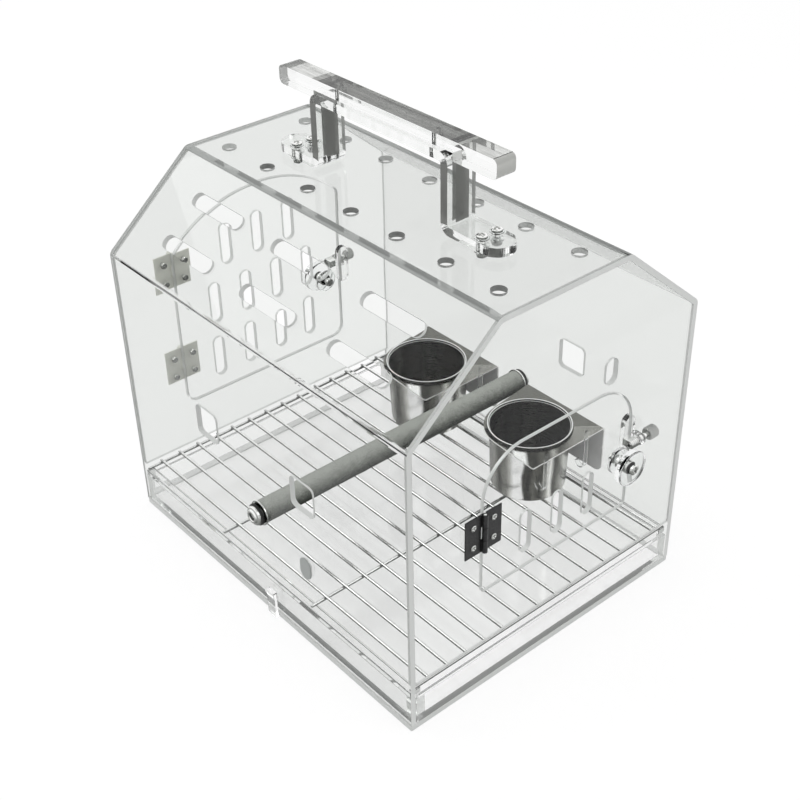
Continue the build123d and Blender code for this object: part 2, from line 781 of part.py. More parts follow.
# ---- cups, their holders and what fastens them -------------------------------------------------------
bead_z = holder_top + seat_gap + cup_bead
bead_radius = cup_top_radius + cup_bead / 2
cup_bottom = bead_z - cup_height
cup_slant = degrees(atan((cup_top_radius - cup_bottom_radius) / cup_height))
inner_back = Plane.XZ.offset(-inside_y)
holder_screw_groups = []
holder_nut_groups = []
for number, x in enumerate(cup_x, start=1):
    right_edge = x + holder_half_width

    # steel cup, drawn in one piece with a rolled rim
    with BuildPart() as cup:
        with BuildSketch(Plane.XY.offset(cup_bottom)):
            with Locations((x, cup_y)):
                Circle(cup_bottom_radius)
        extrude(amount=cup_height, taper=-cup_slant)
        fillet(cup.edges().sort_by(Axis.Z)[0], radius=cup_corner)
        offset(amount=-cup_wall, openings=cup.faces().sort_by(Axis.Z)[-1])
        with BuildSketch(Plane((x, cup_y, bead_z), x_dir=(1, 0, 0), z_dir=(0, -1, 0))):
            with Locations((bead_radius, 0)):
                Circle(cup_bead)
        revolve(axis=Axis((x, cup_y, 0), (0, 0, 1)))
    cup.part.label = f"cup_{number}"
    export_step(cup.part, f"parts/{cup.part.label}.step")

    # holder: a ring plate with its back edge bent down against the wall
    with BuildPart() as holder:
        with BuildSketch(Plane.XY.offset(holder_top)):
            with Locations((x, cup_y)):
                Circle(holder_ring_radius)
            with Locations((right_edge - holder_corner, cup_y - holder_front_corner + holder_corner)):
                Circle(holder_corner)
            with Locations((x, inside_y - holder_sheet)):
                Rectangle(2 * holder_half_width, 2 * holder_sheet)
            make_hull()
        extrude(amount=-holder_sheet)
        with BuildSketch(inner_back) as flange:
            with Locations((x, (holder_top + flange_bottom) / 2)):
                Rectangle(2 * holder_half_width, holder_top - flange_bottom)
            fillet(flange.vertices().group_by(Axis.Y)[0], radius=flange_corner)
        extrude(amount=holder_sheet)
        back_edges = holder.edges().filter_by(Axis.X)
        fillet(back_edges.group_by(Axis.Z)[-1].sort_by(Axis.Y)[-1], radius=holder_bend + holder_sheet)
        back_edges = holder.edges().filter_by(Axis.X)
        under_edge = back_edges.group_by(Axis.Y)[-2].sort_by(Axis.Z)[-1]
        fillet(under_edge, radius=holder_bend)
        with BuildSketch(Plane.XY.offset(holder_top)):
            with Locations((x, cup_y)):
                Circle(cup_top_radius + holder_hole_gap)
        extrude(amount=-holder_sheet, mode=Mode.SUBTRACT)
        with BuildSketch(inner_back):
            with Locations((x - holder_screw_x, holder_screw_z), (x + holder_screw_x, holder_screw_z)):
                Circle(holder_screw_radius + screw_clearance)
        extrude(amount=holder_sheet, mode=Mode.SUBTRACT)
    holder.part.label = f"cup_holder_{number}"
    export_step(holder.part, f"parts/{holder.part.label}.step")

    # two spring strips down the holder's right edge, each ending in a hook
    with BuildPart() as clips:
        strip_x = right_edge + clip_sheet / 2
        strip_foot = holder_top - clip_drop + clip_hook
        for y in (cup_y + clip_behind, cup_y - clip_before):
            with BuildSketch(Plane.XZ.offset(-y)) as strip:
                with BuildLine():
                    Line((strip_x, holder_top + clip_rise), (strip_x, strip_foot))
                    ThreePointArc(
                        (strip_x, strip_foot),
                        (strip_x - clip_hook, strip_foot - clip_hook),
                        (strip_x - 2 * clip_hook, strip_foot),
                    )
                trace(line_width=clip_sheet)
            extrude(amount=clip_width / 2, both=True)
        tips = clips.edges().filter_by(Axis.X).group_by(Axis.Z)[-1]
        fillet(tips, radius=(clip_width - clip_tip_flat) / 2)
    clips.part.label = f"cup_clips_{number}"
    export_step(clips.part, f"parts/{clips.part.label}.step")

    # screws through the holder and the wall, with domed nuts outside
    places = [(x - holder_screw_x, holder_screw_z), (x + holder_screw_x, holder_screw_z)]
    with BuildPart() as screws:
        with BuildSketch(inner_back.offset(holder_sheet)):
            with Locations(*places):
                Circle(holder_head_radius)
        extrude(amount=holder_head_height, taper=head_taper)
        with BuildSketch(inner_back.offset(holder_sheet)):
            with Locations(*places):
                Circle(holder_screw_radius)
        extrude(amount=-(holder_sheet + wall + holder_nut_height / 2))
    holder_screw_groups.append(screws.part)
    with BuildPart() as nuts:
        with BuildSketch(back_wall):
            with Locations(*places):
                RegularPolygon(holder_nut_flats / 2, 6, major_radius=False)
        extrude(amount=-holder_nut_height / 2)
        with BuildSketch(back_wall.offset(-holder_nut_height / 2)):
            with Locations(*places):
                Circle(holder_nut_flats / 2 - holder_nut_rim)
        extrude(amount=-holder_nut_height / 2)
        fillet(nuts.faces().group_by(Axis.Y)[-1].edges(), radius=holder_nut_height / 2 - holder_nut_rim)
        with BuildSketch(back_wall):
            with Locations(*places):
                Circle(holder_screw_radius + screw_clearance)
        extrude(amount=-(holder_nut_height / 2 + seat_gap), mode=Mode.SUBTRACT)
    holder_nut_groups.append(nuts.part)

with BuildPart() as cup_holder_screws:
    add(holder_screw_groups)
cup_holder_screws.part.label = "cup_holder_screws"
export_step(cup_holder_screws.part, "parts/cup_holder_screws.step")
with BuildPart() as cup_holder_nuts:
    add(holder_nut_groups)
cup_holder_nuts.part.label = "cup_holder_nuts"
export_step(cup_holder_nuts.part, "parts/cup_holder_nuts.step")

# ---- rails, wire grate and drip tray -----------------------------------------------------------------
rail_length = length - 2 * rail_setback
with BuildPart() as grate_rails:
    with BuildSketch(Plane.XY.offset(rail_top)):
        for side in (-1, 1):
            with Locations((0, side * (inside_y - rail_width / 2))):
                Rectangle(rail_length, rail_width)
    extrude(amount=-rail_thickness)
grate_rails.part.label = "grate_rails"
export_step(grate_rails.part, "parts/grate_rails.step")

# The wires are solids of their own that touch where they are welded.
cross_wire_z = rail_top + wire / 2
long_wire_z = cross_wire_z + wire
cross_wire_half = inside_y - grate_side_gap
long_wire_half = length / 2 - wire_end_gap
end_wire_x = long_wire_half - wire / 2
wires = []
for place in range(wire_count):
    y = (place - (wire_count - 1) / 2) * wire_spacing
    with BuildPart() as long_wire:
        with BuildSketch(Plane.YZ):
            with Locations((y, long_wire_z)):
                Circle(wire / 2)
        extrude(amount=long_wire_half, both=True)
    wires.append(long_wire.part)
for x in (-end_wire_x, -cross_wire_x, cross_wire_x, end_wire_x):
    with BuildPart() as cross_wire:
        with BuildSketch(Plane.XZ):
            with Locations((x, cross_wire_z)):
                Circle(wire / 2)
        extrude(amount=cross_wire_half, both=True)
    wires.append(cross_wire.part)
wire_grate = Compound(label="wire_grate", children=wires)
export_step(wire_grate, "parts/wire_grate.step")

tray_bottom = base_thickness + seat_gap
with BuildPart() as drip_tray:
    with BuildSketch(Plane.XY.offset(tray_bottom)):
        Rectangle(length, 2 * (inside_y - tray_side_gap))
    extrude(amount=tray_height)
    with BuildSketch(Plane.XY.offset(tray_bottom + tray_floor)):
        Rectangle(length - 2 * tray_wall, 2 * (inside_y - tray_side_gap - tray_wall))
    extrude(amount=tray_height, mode=Mode.SUBTRACT)
    chamfer(drip_tray.edges().filter_by(Axis.Z), length=tray_corner)
drip_tray.part.label = "drip_tray"
export_step(drip_tray.part, "parts/drip_tray.step")

# ---- small pieces on the front wall --------------------------------------------------------------------
with BuildPart() as tray_stop:
    with BuildSketch(front_wall):
        with Locations((stop_x, stop_height / 2)):
            Rectangle(stop_width, stop_height)
    extrude(amount=stop_thickness)
    with BuildSketch(front_wall.offset(stop_thickness)):
        with Locations((stop_x, stop_height - stop_lip / 2)):
            Rectangle(stop_width, stop_lip)
    extrude(amount=stop_lip_depth)
    fillet(tray_stop.edges().filter_by(Axis.Y).group_by(Axis.Z)[-1], radius=stop_corner)
tray_stop.part.label = "tray_stop"
export_step(tray_stop.part, "parts/tray_stop.step")

with BuildPart() as wall_plug:
    with BuildSketch(front_wall):
        with Locations((plug_x, plug_height)):
            SlotOverall(plug_length + 2 * plug_lip, plug_width + 2 * plug_lip, rotation=90)
    extrude(amount=plug_proud)
    fillet(wall_plug.faces().sort_by(Axis.Y)[0].edges(), radius=plug_edge)
    with BuildSketch(front_wall):
        with Locations((plug_x, plug_height)):
            SlotOverall(plug_length - 2 * screw_clearance, plug_width - 2 * screw_clearance, rotation=90)
    extrude(amount=-wall)
wall_plug.part.label = "wall_plug"
export_step(wall_plug.part, "parts/wall_plug.step")

# ---- handle ----------------------------------------------------------------------------------------------
leg_x = strap_leg_x - strap_thickness / 2
foot_z = roof_height + strap_thickness / 2
run_z = strap_top - strap_thickness / 2
bar_screw_places = [(-bar_screw_x, 0), (bar_screw_x, 0)]
with BuildPart() as handle_strap:
    with BuildSketch(Plane.XZ):
        with BuildLine():
            FilletPolyline(
                (-strap_foot_x, foot_z),
                (-leg_x, foot_z),
                (-leg_x, run_z),
                (leg_x, run_z),
                (leg_x, foot_z),
                (strap_foot_x, foot_z),
                radius=strap_bend + strap_thickness / 2,
            )
        trace(line_width=strap_thickness)
    extrude(amount=strap_width / 2, both=True)
    upright_edges = handle_strap.edges().filter_by(Axis.Z)
    foot_ends = upright_edges.group_by(Axis.X)[0] + upright_edges.group_by(Axis.X)[-1]
    fillet(foot_ends, radius=strap_foot_corner)
    with BuildSketch(Plane.XY.offset(strap_top)):
        with Locations(*bar_screw_places):
            Circle(bar_screw_radius + screw_clearance)
    extrude(amount=-2 * strap_thickness, mode=Mode.SUBTRACT)
    with BuildSketch(Plane.XY.offset(roof_height)):
        with GridLocations(2 * handle_bolt_x, 2 * handle_bolt_y, 2, 2):
            Circle(handle_bolt_radius + screw_clearance)
    extrude(amount=2 * strap_thickness, mode=Mode.SUBTRACT)
handle_strap.part.label = "handle_strap"
export_step(handle_strap.part, "parts/handle_strap.step")

bar_bottom = strap_top - bar_notch_depth
notch_length = 2 * (strap_leg_x + bar_notch_clearance)
with BuildPart() as handle_bar:
    with BuildSketch(Plane.XZ) as bar_side:
        with Locations((0, bar_bottom + bar_height / 2)):
            Rectangle(bar_length, bar_height)
        fillet(bar_side.vertices(), radius=bar_corner)
        with Locations((0, bar_bottom + bar_notch_depth / 2)):
            Rectangle(notch_length, bar_notch_depth, mode=Mode.SUBTRACT)
    extrude(amount=bar_width / 2, both=True)
    with BuildSketch(Plane.XY.offset(strap_top)):
        with Locations(*bar_screw_places):
            Circle(bar_screw_radius + screw_clearance)
    extrude(amount=bar_screw_depth + seat_gap, mode=Mode.SUBTRACT)
handle_bar.part.label = "handle_bar"
export_step(handle_bar.part, "parts/handle_bar.step")

with BuildPart() as handle_bar_screws:
    with BuildSketch(Plane.XY.offset(strap_top - strap_thickness)):
        with Locations(*bar_screw_places):
            Circle(bar_screw_head_radius)
    extrude(amount=-bar_screw_head_height, taper=head_taper)
    with BuildSketch(Plane.XY.offset(strap_top - strap_thickness)):
        with Locations(*bar_screw_places):
            Circle(bar_screw_radius)
    extrude(amount=strap_thickness + bar_screw_depth)
handle_bar_screws.part.label = "handle_bar_screws"
export_step(handle_bar_screws.part, "parts/handle_bar_screws.step")

foot_top = roof_height + strap_thickness
roof_under = roof_height - wall
with BuildPart() as handle_washers:
    for bottom in (foot_top, roof_under - handle_washer_thickness):
        with BuildSketch(Plane.XY.offset(bottom)):
            with GridLocations(2 * handle_bolt_x, 2 * handle_bolt_y, 2, 2):
                Circle(handle_washer_radius)
                Circle(handle_bolt_radius + screw_clearance, mode=Mode.SUBTRACT)
        extrude(amount=handle_washer_thickness)
handle_washers.part.label = "handle_washers"
export_step(handle_washers.part, "parts/handle_washers.step")

head_bottom = foot_top + handle_washer_thickness
nut_top = roof_under - handle_washer_thickness
with BuildPart() as handle_bolts:
    with BuildSketch(Plane.XY.offset(head_bottom)):
        with GridLocations(2 * handle_bolt_x, 2 * handle_bolt_y, 2, 2):
            Circle(handle_head_radius)
    extrude(amount=handle_head_height)
    fillet(handle_bolts.faces().group_by(Axis.Z)[-1].edges(), radius=handle_head_height - handle_head_rim)
    with BuildSketch(Plane.XY.offset(head_bottom)):
        with GridLocations(2 * handle_bolt_x, 2 * handle_bolt_y, 2, 2):
            Circle(handle_bolt_radius)
    extrude(amount=-(head_bottom - nut_top + handle_nut_height + handle_bolt_proud))
handle_bolts.part.label = "handle_bolts"
export_step(handle_bolts.part, "parts/handle_bolts.step")

with BuildPart() as handle_nuts:
    with BuildSketch(Plane.XY.offset(nut_top)):
        with GridLocations(2 * handle_bolt_x, 2 * handle_bolt_y, 2, 2):
            RegularPolygon(handle_nut_flats / 2, 6, major_radius=False)
            Circle(handle_bolt_radius + screw_clearance, mode=Mode.SUBTRACT)
    extrude(amount=-handle_nut_height)
handle_nuts.part.label = "handle_nuts"
export_step(handle_nuts.part, "parts/handle_nuts.step")
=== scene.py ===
import json
import math

import bmesh
import bpy
import numpy as np
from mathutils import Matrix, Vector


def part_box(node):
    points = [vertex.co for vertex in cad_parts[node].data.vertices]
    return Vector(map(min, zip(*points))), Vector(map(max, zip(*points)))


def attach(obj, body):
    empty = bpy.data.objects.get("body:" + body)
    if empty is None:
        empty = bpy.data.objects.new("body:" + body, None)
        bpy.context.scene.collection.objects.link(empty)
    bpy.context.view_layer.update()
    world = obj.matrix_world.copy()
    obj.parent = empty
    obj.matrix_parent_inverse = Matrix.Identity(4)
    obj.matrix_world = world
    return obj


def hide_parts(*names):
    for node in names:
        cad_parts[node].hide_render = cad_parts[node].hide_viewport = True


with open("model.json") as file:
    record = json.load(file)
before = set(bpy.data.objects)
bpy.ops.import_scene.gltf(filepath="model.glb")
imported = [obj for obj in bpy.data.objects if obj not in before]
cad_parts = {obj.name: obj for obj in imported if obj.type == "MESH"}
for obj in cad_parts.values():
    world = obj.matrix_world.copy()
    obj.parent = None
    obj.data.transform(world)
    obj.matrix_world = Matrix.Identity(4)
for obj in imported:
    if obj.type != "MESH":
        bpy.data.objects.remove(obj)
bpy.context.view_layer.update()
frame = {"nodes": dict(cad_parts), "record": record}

scene = bpy.context.scene
scene.view_settings.view_transform = "Standard"
# A ray crosses many clear sheets before it reaches the table.
bounces = 24
scene.cycles.max_bounces = bounces
scene.cycles.transmission_bounces = bounces
scene.cycles.transparent_max_bounces = 2 * bounces
scene.cycles.caustics_reflective = False
scene.cycles.caustics_refractive = False


# ---- table, room and light ---------------------------------------------------------------------
# The carrier stands on a plain white table in a white room. Two large soft boxes and the room's
# own light fall on it from above. Its clear sheets show by their edges alone, with painted grey
# shade.
def linear(colour):
    """An sRGB hex colour as linear red, green, blue and alpha."""
    parts = np.array([int(colour[i : i + 2], 16) for i in (1, 3, 5)]) / 255
    low, high = parts / 12.92, ((parts + 0.055) / 1.055) ** 2.4
    return (*np.where(parts <= 0.04045, low, high), 1.0)


def add_node(tree, kind, settings=None, **sockets):
    """Adds one node with its settings, and links or sets its inputs, named in words joined by _."""
    made = tree.nodes.new("ShaderNode" + kind)
    for name, value in (settings or {}).items():
        setattr(made, name, value)
    for name, value in sockets.items():
        if name[0] == "n" and name[1:].isdigit():
            socket = made.inputs[int(name[1:])]
        else:
            socket = made.inputs[name.replace("_", " ")]
        if isinstance(value, bpy.types.NodeSocket):
            tree.links.new(value, socket)
        else:
            socket.default_value = value
    return made


def larger(tree, one, other):
    """The larger of two values."""
    return add_node(tree, "Math", {"operation": "MAXIMUM"}, n0=one, n1=other).outputs[0]


def seen_directly(tree):
    """1 for rays from the eye, off a mirror or through glass, 0 for light that falls on things."""
    ray = add_node(tree, "LightPath").outputs
    first_hand = larger(tree, ray["Is Camera Ray"], ray["Is Glossy Ray"])
    return larger(tree, first_hand, ray["Is Transmission Ray"])


room = bpy.data.worlds.new("white_room")
scene.world = room
room.use_nodes = True
tree = room.node_tree
tree.nodes.clear()
ambient = add_node(tree, "Background", Color=linear("#ffffff"), Strength=0.7)
backdrop = add_node(tree, "Background", Color=linear("#ffffff"), Strength=1.0)
mixed = add_node(
    tree, "MixShader", n0=seen_directly(tree), n1=ambient.outputs[0], n2=backdrop.outputs[0]
)
add_node(tree, "OutputWorld", Surface=mixed.outputs[0])

table_half = 6.0
table_mesh = bpy.data.meshes.new("table_top")
corners = [(-1, -1), (1, -1), (1, 1), (-1, 1)]
table_points = [(table_half * x, table_half * y, 0) for x, y in corners]
table_mesh.from_pydata(table_points, [], [(0, 1, 2, 3)])
table = bpy.data.objects.new("table_top", table_mesh)
scene.collection.objects.link(table)
# Matt white paint. It is a little lighter to the eye than to the things that stand on it.
table_paint = bpy.data.materials.new("white_table")
table_paint.use_nodes = True
tree = table_paint.node_tree
tree.nodes.clear()
matt_white = add_node(tree, "BsdfDiffuse", Color=linear("#e6e6e6"))
shaded = add_node(tree, "BsdfDiffuse", Color=linear("#818181"))
lift = add_node(tree, "Emission", Color=linear("#ffffff"), Strength=0.82)
lifted = add_node(tree, "AddShader", n0=shaded.outputs[0], n1=lift.outputs[0])
shown = add_node(
    tree, "MixShader", n0=seen_directly(tree), n1=matt_white.outputs[0], n2=lifted.outputs[0]
)
add_node(tree, "OutputMaterial", Surface=shown.outputs[0])
table_mesh.materials.append(table_paint)


def soft_box(name, size, power, place, target):
    """A square area lamp of that width and power, at a place, turned to a target."""
    lamp = bpy.data.lights.new(name, "AREA")
    lamp.shape = "SQUARE"
    lamp.size = size
    lamp.energy = power
    holder = bpy.data.objects.new(name, lamp)
    scene.collection.objects.link(holder)
    holder.visible_glossy = False
    place = np.array(place)
    away = place - np.array(target)
    holder.location = place
    across = math.hypot(away[0], away[1])
    turn = math.atan2(away[1], away[0]) + math.pi / 2
    holder.rotation_euler = (math.atan2(across, away[2]), 0, turn)


middle = (0, 0, 0.2)
soft_box("soft_box_left", 1.4, 16, (-1.5, -1.2, 2.2), middle)
soft_box("soft_box_right", 1.2, 9, (1.9, 0.6, 1.9), middle)

view = bpy.data.cameras.new("camera")
view.sensor_width = 36
view.lens = 60.98
camera = bpy.data.objects.new("camera", view)
camera.location = (0.78793, -0.65370, 0.86132)
camera.rotation_euler = [math.radians(angle) for angle in (55.3786, 1.0678, 49.3780)]
scene.collection.objects.link(camera)
scene.camera = camera


# ---- base plate, body shell and end panels -----------------------------------------------------
# Cast acrylic sheet, 5 and 6 mm thick. The shell is one sheet bent hot along four lines, with its
# holes cut by laser, and the end panels and the base plate are cemented to it.
MM = 0.001
bodies = frame["record"]["behaviour"]["bodies"]
body_of = {node: body for body, nodes in bodies.items() for node in nodes}


def clear_plastic(name, face, shadow_tint, density=0.0, veil=1.0, gloss=1.0):
    """A see-through material: its face's shader for the eye, and a plain tint for the light that
    passes through it onto other things, with a little loss on the way through its depth. A veil
    below 1 lets the rest of the light straight through, and a gloss below 1 leaves that much of
    the mirror light on its outer face, while light inside the sheet is mirrored in full."""
    material = bpy.data.materials.new(name)
    material.use_nodes = True
    tree = material.node_tree
    tree.nodes.clear()
    surface = add_node(tree, "BsdfPrincipled", **face)
    passed = add_node(tree, "BsdfTransparent", Color=linear(shadow_tint))
    ray = add_node(tree, "LightPath").outputs
    falls = larger(tree, ray["Is Shadow Ray"], ray["Is Diffuse Ray"])
    seen = surface
    if veil < 1:
        through = add_node(tree, "BsdfTransparent", Color=linear("#f6f7f6"))
        seen = add_node(tree, "MixShader", n0=veil, n1=through.outputs[0], n2=surface.outputs[0])
    if gloss < 1:
        # The square root of the tint, since light is tinted on its way in and on its way out.
        tint = [channel**0.5 for channel in face["Base_Color"]]
        optics = {"Roughness": face["Roughness"], "IOR": face["IOR"]}
        bent = add_node(tree, "BsdfRefraction", Color=tint, **optics)
        inside = add_node(tree, "NewGeometry").outputs["Backfacing"]
        mirrored = larger(tree, inside, gloss)
        seen = add_node(tree, "MixShader", n0=mirrored, n1=bent.outputs[0], n2=surface.outputs[0])
    either = add_node(tree, "MixShader", n0=falls, n1=seen.outputs[0], n2=passed.outputs[0])
    output = add_node(tree, "OutputMaterial", Surface=either.outputs[0])
    if density:
        depth = add_node(tree, "VolumeAbsorption", Color=linear("#bfc0bf"), Density=density)
        tree.links.new(depth.outputs[0], output.inputs["Volume"])
    return material


def acrylic_face(name, tint, density, gloss=1.0):
    """Clear cast acrylic with a polished face, which takes a little light on its way through."""
    face = dict(Base_Color=linear(tint), Roughness=0.01, IOR=1.49, Transmission_Weight=1.0)
    face["Specular_IOR_Level"] = 0.15
    face["Specular_Tint"] = linear("#6f6f6f")
    return clear_plastic(name, face, "#fcfcfc", density, gloss=gloss)


def acrylic_edge(name, colour, clearness=0.3, veil=1.0):
    """Cut and flame-polished edge: a soft grey of painted shade stands in for the light that runs
    along the sheet.
    """
    face = dict(Base_Color=linear(colour), Roughness=0.3, IOR=1.49, Transmission_Weight=clearness)
    return clear_plastic(name, face, "#e9eae9", 0.0, veil)


# Polished faces of the shell's sheet: clear, with a faint grey that adds up where sheets overlap.
sheet_face = acrylic_face("cast_acrylic_face", "#eff0ef", 3.0, 0.15)
# Polished faces of doors and end panels, a little clearer.
end_face = acrylic_face("cast_acrylic_end_face", "#f5f6f5", 2.0, 0.15)
# Cut edge: a pale satin band round each sheet and slot.
sheet_edge = acrylic_edge("cast_acrylic_cut_edge", "#dfe1df", 0.1)
# Eased corner: a thin grey line of painted shade that draws the outline of each sheet.
sheet_corner = acrylic_edge("cast_acrylic_corner_painted_shade", "#6e716f", 0.0, 0.9)
# Hot-bent corner: a soft grey stripe of painted shade along both edges of the roof.
hot_bend = acrylic_edge("hot_bent_corner_painted_shade", "#a3a6a4", 0.2, 0.7)
# Wall of a drilled hole: painted a light grey shade, so that the holes read as rings.
hole_edge = acrylic_edge("drilled_hole_painted_shade", "#c4c6c4", 0.3, 0.55)
# Faces and edges of base plate and tray, the clearest of all.
clear_face = acrylic_face("clear_acrylic_floor_face", "#fcfcfc", 1.0)
clear_edge = acrylic_edge("clear_acrylic_floor_edge", "#dfe1df", 0.1)


def placed(name, mesh, materials, node):
    """An object of the mesh in its materials. It takes a CAD node's place and body, and hides the
    node.
    """
    for material in materials:
        mesh.materials.append(material)
    piece = bpy.data.objects.new(name, mesh)
    scene.collection.objects.link(piece)
    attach(piece, body_of[node])
    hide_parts(node)
    return piece


weld_reach, seat_gap = 0.001 * MM, 0.05 * MM


def joined_shape(node):
    """A CAD node's triangles, joined at their corners."""
    shape = bmesh.new()
    shape.from_mesh(frame["nodes"][node].data)
    bmesh.ops.remove_doubles(shape, verts=shape.verts, dist=weld_reach)
    return shape


def merged_copy(node, name, materials, smooth=False):
    """A copy of a CAD node as one closed mesh, drawn in by a hair, so that no two pieces share a
    face."""
    shape = joined_shape(node)
    for face in shape.faces:
        face.smooth = smooth
    mesh = bpy.data.meshes.new(name)
    shape.to_mesh(mesh)
    shape.free()
    piece = placed(name, mesh, materials, node)
    seat = piece.modifiers.new("seat_gap", "DISPLACE")
    seat.mid_level = 0.0
    seat.strength = -seat_gap
    return piece


def ease_edges(piece, width, edge_material=-1, angle=32):
    """Rounds the sharp edges by width metres, in two steps, and keeps flat faces of smooth
    pieces flat."""
    eased = piece.modifiers.new("eased_edges", "BEVEL")
    eased.width = width
    eased.segments = 2
    eased.limit_method = "ANGLE"
    eased.angle_limit = math.radians(angle)
    eased.material = edge_material
    if piece.data.polygons[0].use_smooth:
        piece.data.set_sharp_from_angle(angle=math.radians(angle))
        flat = piece.modifiers.new("flat_faces", "WEIGHTED_NORMAL")
        flat.weight = 100
        flat.keep_sharp = True


def cut_across(piece, planes):
    """Divides a mesh's faces along each (point, normal) plane, and moves nothing."""
    shape = bmesh.new()
    shape.from_mesh(piece.data)
    for point, normal in planes:
        everything = list(shape.verts) + list(shape.edges) + list(shape.faces)
        bmesh.ops.bisect_plane(shape, geom=everything, plane_co=point, plane_no=normal)
    shape.to_mesh(piece.data)
    shape.free()


def pick_faces(piece, choose):
    """Gives each face the material whose number choose works out from its normal and centre."""
    faces = piece.data.polygons
    normals, centres = np.empty(3 * len(faces)), np.empty(3 * len(faces))
    faces.foreach_get("normal", normals)
    faces.foreach_get("center", centres)
    numbers = choose(normals.reshape(-1, 3), centres.reshape(-1, 3))
    faces.foreach_set("material_index", numbers.astype(np.int32))


edge_lean = 0.6


def mark_cut_edges(piece, across):
    """Gives the second material to faces whose normal leans away from the sheet's own, across."""
    pick_faces(piece, lambda normals, centres: np.abs(normals @ across) < edge_lean)


def end_sheet(node):
    """A door or end panel: an upright flat sheet with pale cut edges and eased corners."""
    piece = merged_copy(node, node + "_sheet", (end_face, sheet_edge, sheet_corner))
    mark_cut_edges(piece, (1, 0, 0))
    ease_edges(piece, 0.6 * MM, corner_slot)


sheet, roof_rise, slope_run, bend_reach = 5 * MM, 76.5 * MM, 90.5 * MM, 4.5 * MM
skin = 1.2 * sheet
shell_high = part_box("body_shell")[1]
roof_edge = shell_high[1] - slope_run


def shell_normal(centres):
    """The bent sheet's own normal at each point: up on the roof, out on a wall or a slope."""
    side = np.sign(centres[:, 1])
    slope = np.array([0, roof_rise, slope_run])
    slope = slope / np.linalg.norm(slope)
    out = np.zeros_like(centres)
    on_wall = np.abs(centres[:, 1]) > shell_high[1] - skin
    on_roof = centres[:, 2] > shell_high[2] - skin
    on_slope = ~on_wall & ~on_roof
    out[on_wall, 1] = side[on_wall]
    out[on_roof, 2] = 1
    out[on_slope, 1] = side[on_slope] * slope[1]
    out[on_slope, 2] = slope[2]
    return out


shell_materials = (sheet_face, sheet_edge, sheet_corner, hole_edge, hot_bend)
corner_slot = shell_materials.index(sheet_corner)
shell = merged_copy("body_shell", "shell", shell_materials)


def shell_faces(normals, centres):
    """Faces along the sheet, its cut ends and slots, the walls of the roof's drilled holes, or the
    strips beside the roof's bends."""
    cut = np.abs((normals * shell_normal(centres)).sum(1)) < edge_lean
    in_roof = centres[:, 2] > shell_high[2] - skin
    in_roof &= np.abs(centres[:, 0]) < shell_high[0] - 2 * sheet
    at_bend = ~cut & in_roof & (np.abs(centres[:, 1]) > roof_edge - bend_reach)
    slots = [shell_materials.index(hot_bend), shell_materials.index(hole_edge)]
    return np.select([at_bend, cut & in_roof], slots, cut)


cut_across(shell, [((0, side * (roof_edge - bend_reach), 0), (0, 1, 0)) for side in (-1, 1)])
pick_faces(shell, shell_faces)
# The sheet's four long folds are rounded wider than its cut edges.
shortest_fold, least_turn, most_turn = 50 * MM, 0.4, 1.1
bent = bmesh.new()
bent.from_mesh(shell.data)
weights = bent.edges.layers.float.new("bevel_weight_edge")
for edge in bent.edges:
    if edge.calc_length() > shortest_fold and least_turn < edge.calc_face_angle(0) < most_turn:
        edge[weights] = 1.0
bent.to_mesh(shell.data)
bent.free()
bends = shell.modifiers.new("hot_bends", "BEVEL")
bends.width = 2.2 * MM
bends.segments = 3
bends.limit_method = "WEIGHT"
bends.material = shell_materials.index(hot_bend)
ease_edges(shell, 0.5 * MM, corner_slot, 60)
end_sheet("big_door_end_panel")
end_sheet("small_door_end_panel")
base_materials = (clear_face, clear_edge)
base = merged_copy("base_plate", "base_sheet", base_materials)
mark_cut_edges(base, (0, 0, 1))
ease_edges(base, 0.4 * MM, base_materials.index(clear_edge))


# ---- doors -------------------------------------------------------------------------------------
# Cut by laser from the same 5 mm sheet as the end panels, with air slots. The big door is arched,
# and the small one has two rounded top corners.
end_sheet("big_door")
end_sheet("small_door")


# ---- rails, stop plates, tray stop, guides and plug --------------------------------------------
# Small pieces of the same sheet, cemented to the walls and end panels. The plug is moulded of grey
# ABS and pressed into a hole in the front wall.
for node in ("grate_rails", "door_stop_plates", "tray_stop", "bolt_guides"):
    small = merged_copy(node, node + "_cut", (clear_face, sheet_edge, sheet_corner))
    if node == "grate_rails":
        # Only the saw-cut ends of the long rails show as cut edges.
        mark_cut_edges(small, (0, 0.71, 0.71))
    ease_edges(small, 0.4 * MM, corner_slot)


def opaque(name, colour, metallic, roughness, **sockets):
    """A new material with one Principled shader, which is returned with its node tree."""
    material = bpy.data.materials.new(name)
    material.use_nodes = True
    tree = material.node_tree
    shader = tree.nodes["Principled BSDF"]
    shader.inputs["Base Color"].default_value = linear(colour)
    shader.inputs["Metallic"].default_value = metallic
    shader.inputs["Roughness"].default_value = roughness
    for socket, value in sockets.items():
        shader.inputs[socket.replace("_", " ")].default_value = value
    return material, tree, shader


def grain(tree, size, stretch=(1, 1, 1), detail=2.0):
    """Noise in object space with grains of size metres, drawn out along each axis by stretch."""
    place = add_node(tree, "TexCoord")
    scaled = add_node(tree, "Mapping", Vector=place.outputs["Object"], Scale=stretch)
    return add_node(
        tree, "TexNoise", Vector=scaled.outputs[0], Scale=1 / size, Detail=detail, Roughness=0.6
    ).outputs["Fac"]


def spread(tree, fac, low, high):
    """Maps a grain value of 0.3 to 0.7 onto low to high."""
    return add_node(tree, "MapRange", n0=fac, n1=0.3, n2=0.7, n3=low, n4=high).outputs["Result"]


def rough(tree, shader, fac, low, high, depth):
    """Drives roughness from low to high and a bump of depth metres by the same grain."""
    tree.links.new(spread(tree, fac, low, high), shader.inputs["Roughness"])
    bump = add_node(tree, "Bump", Height=fac, Distance=depth, Strength=1.0)
    tree.links.new(bump.outputs[0], shader.inputs["Normal"])


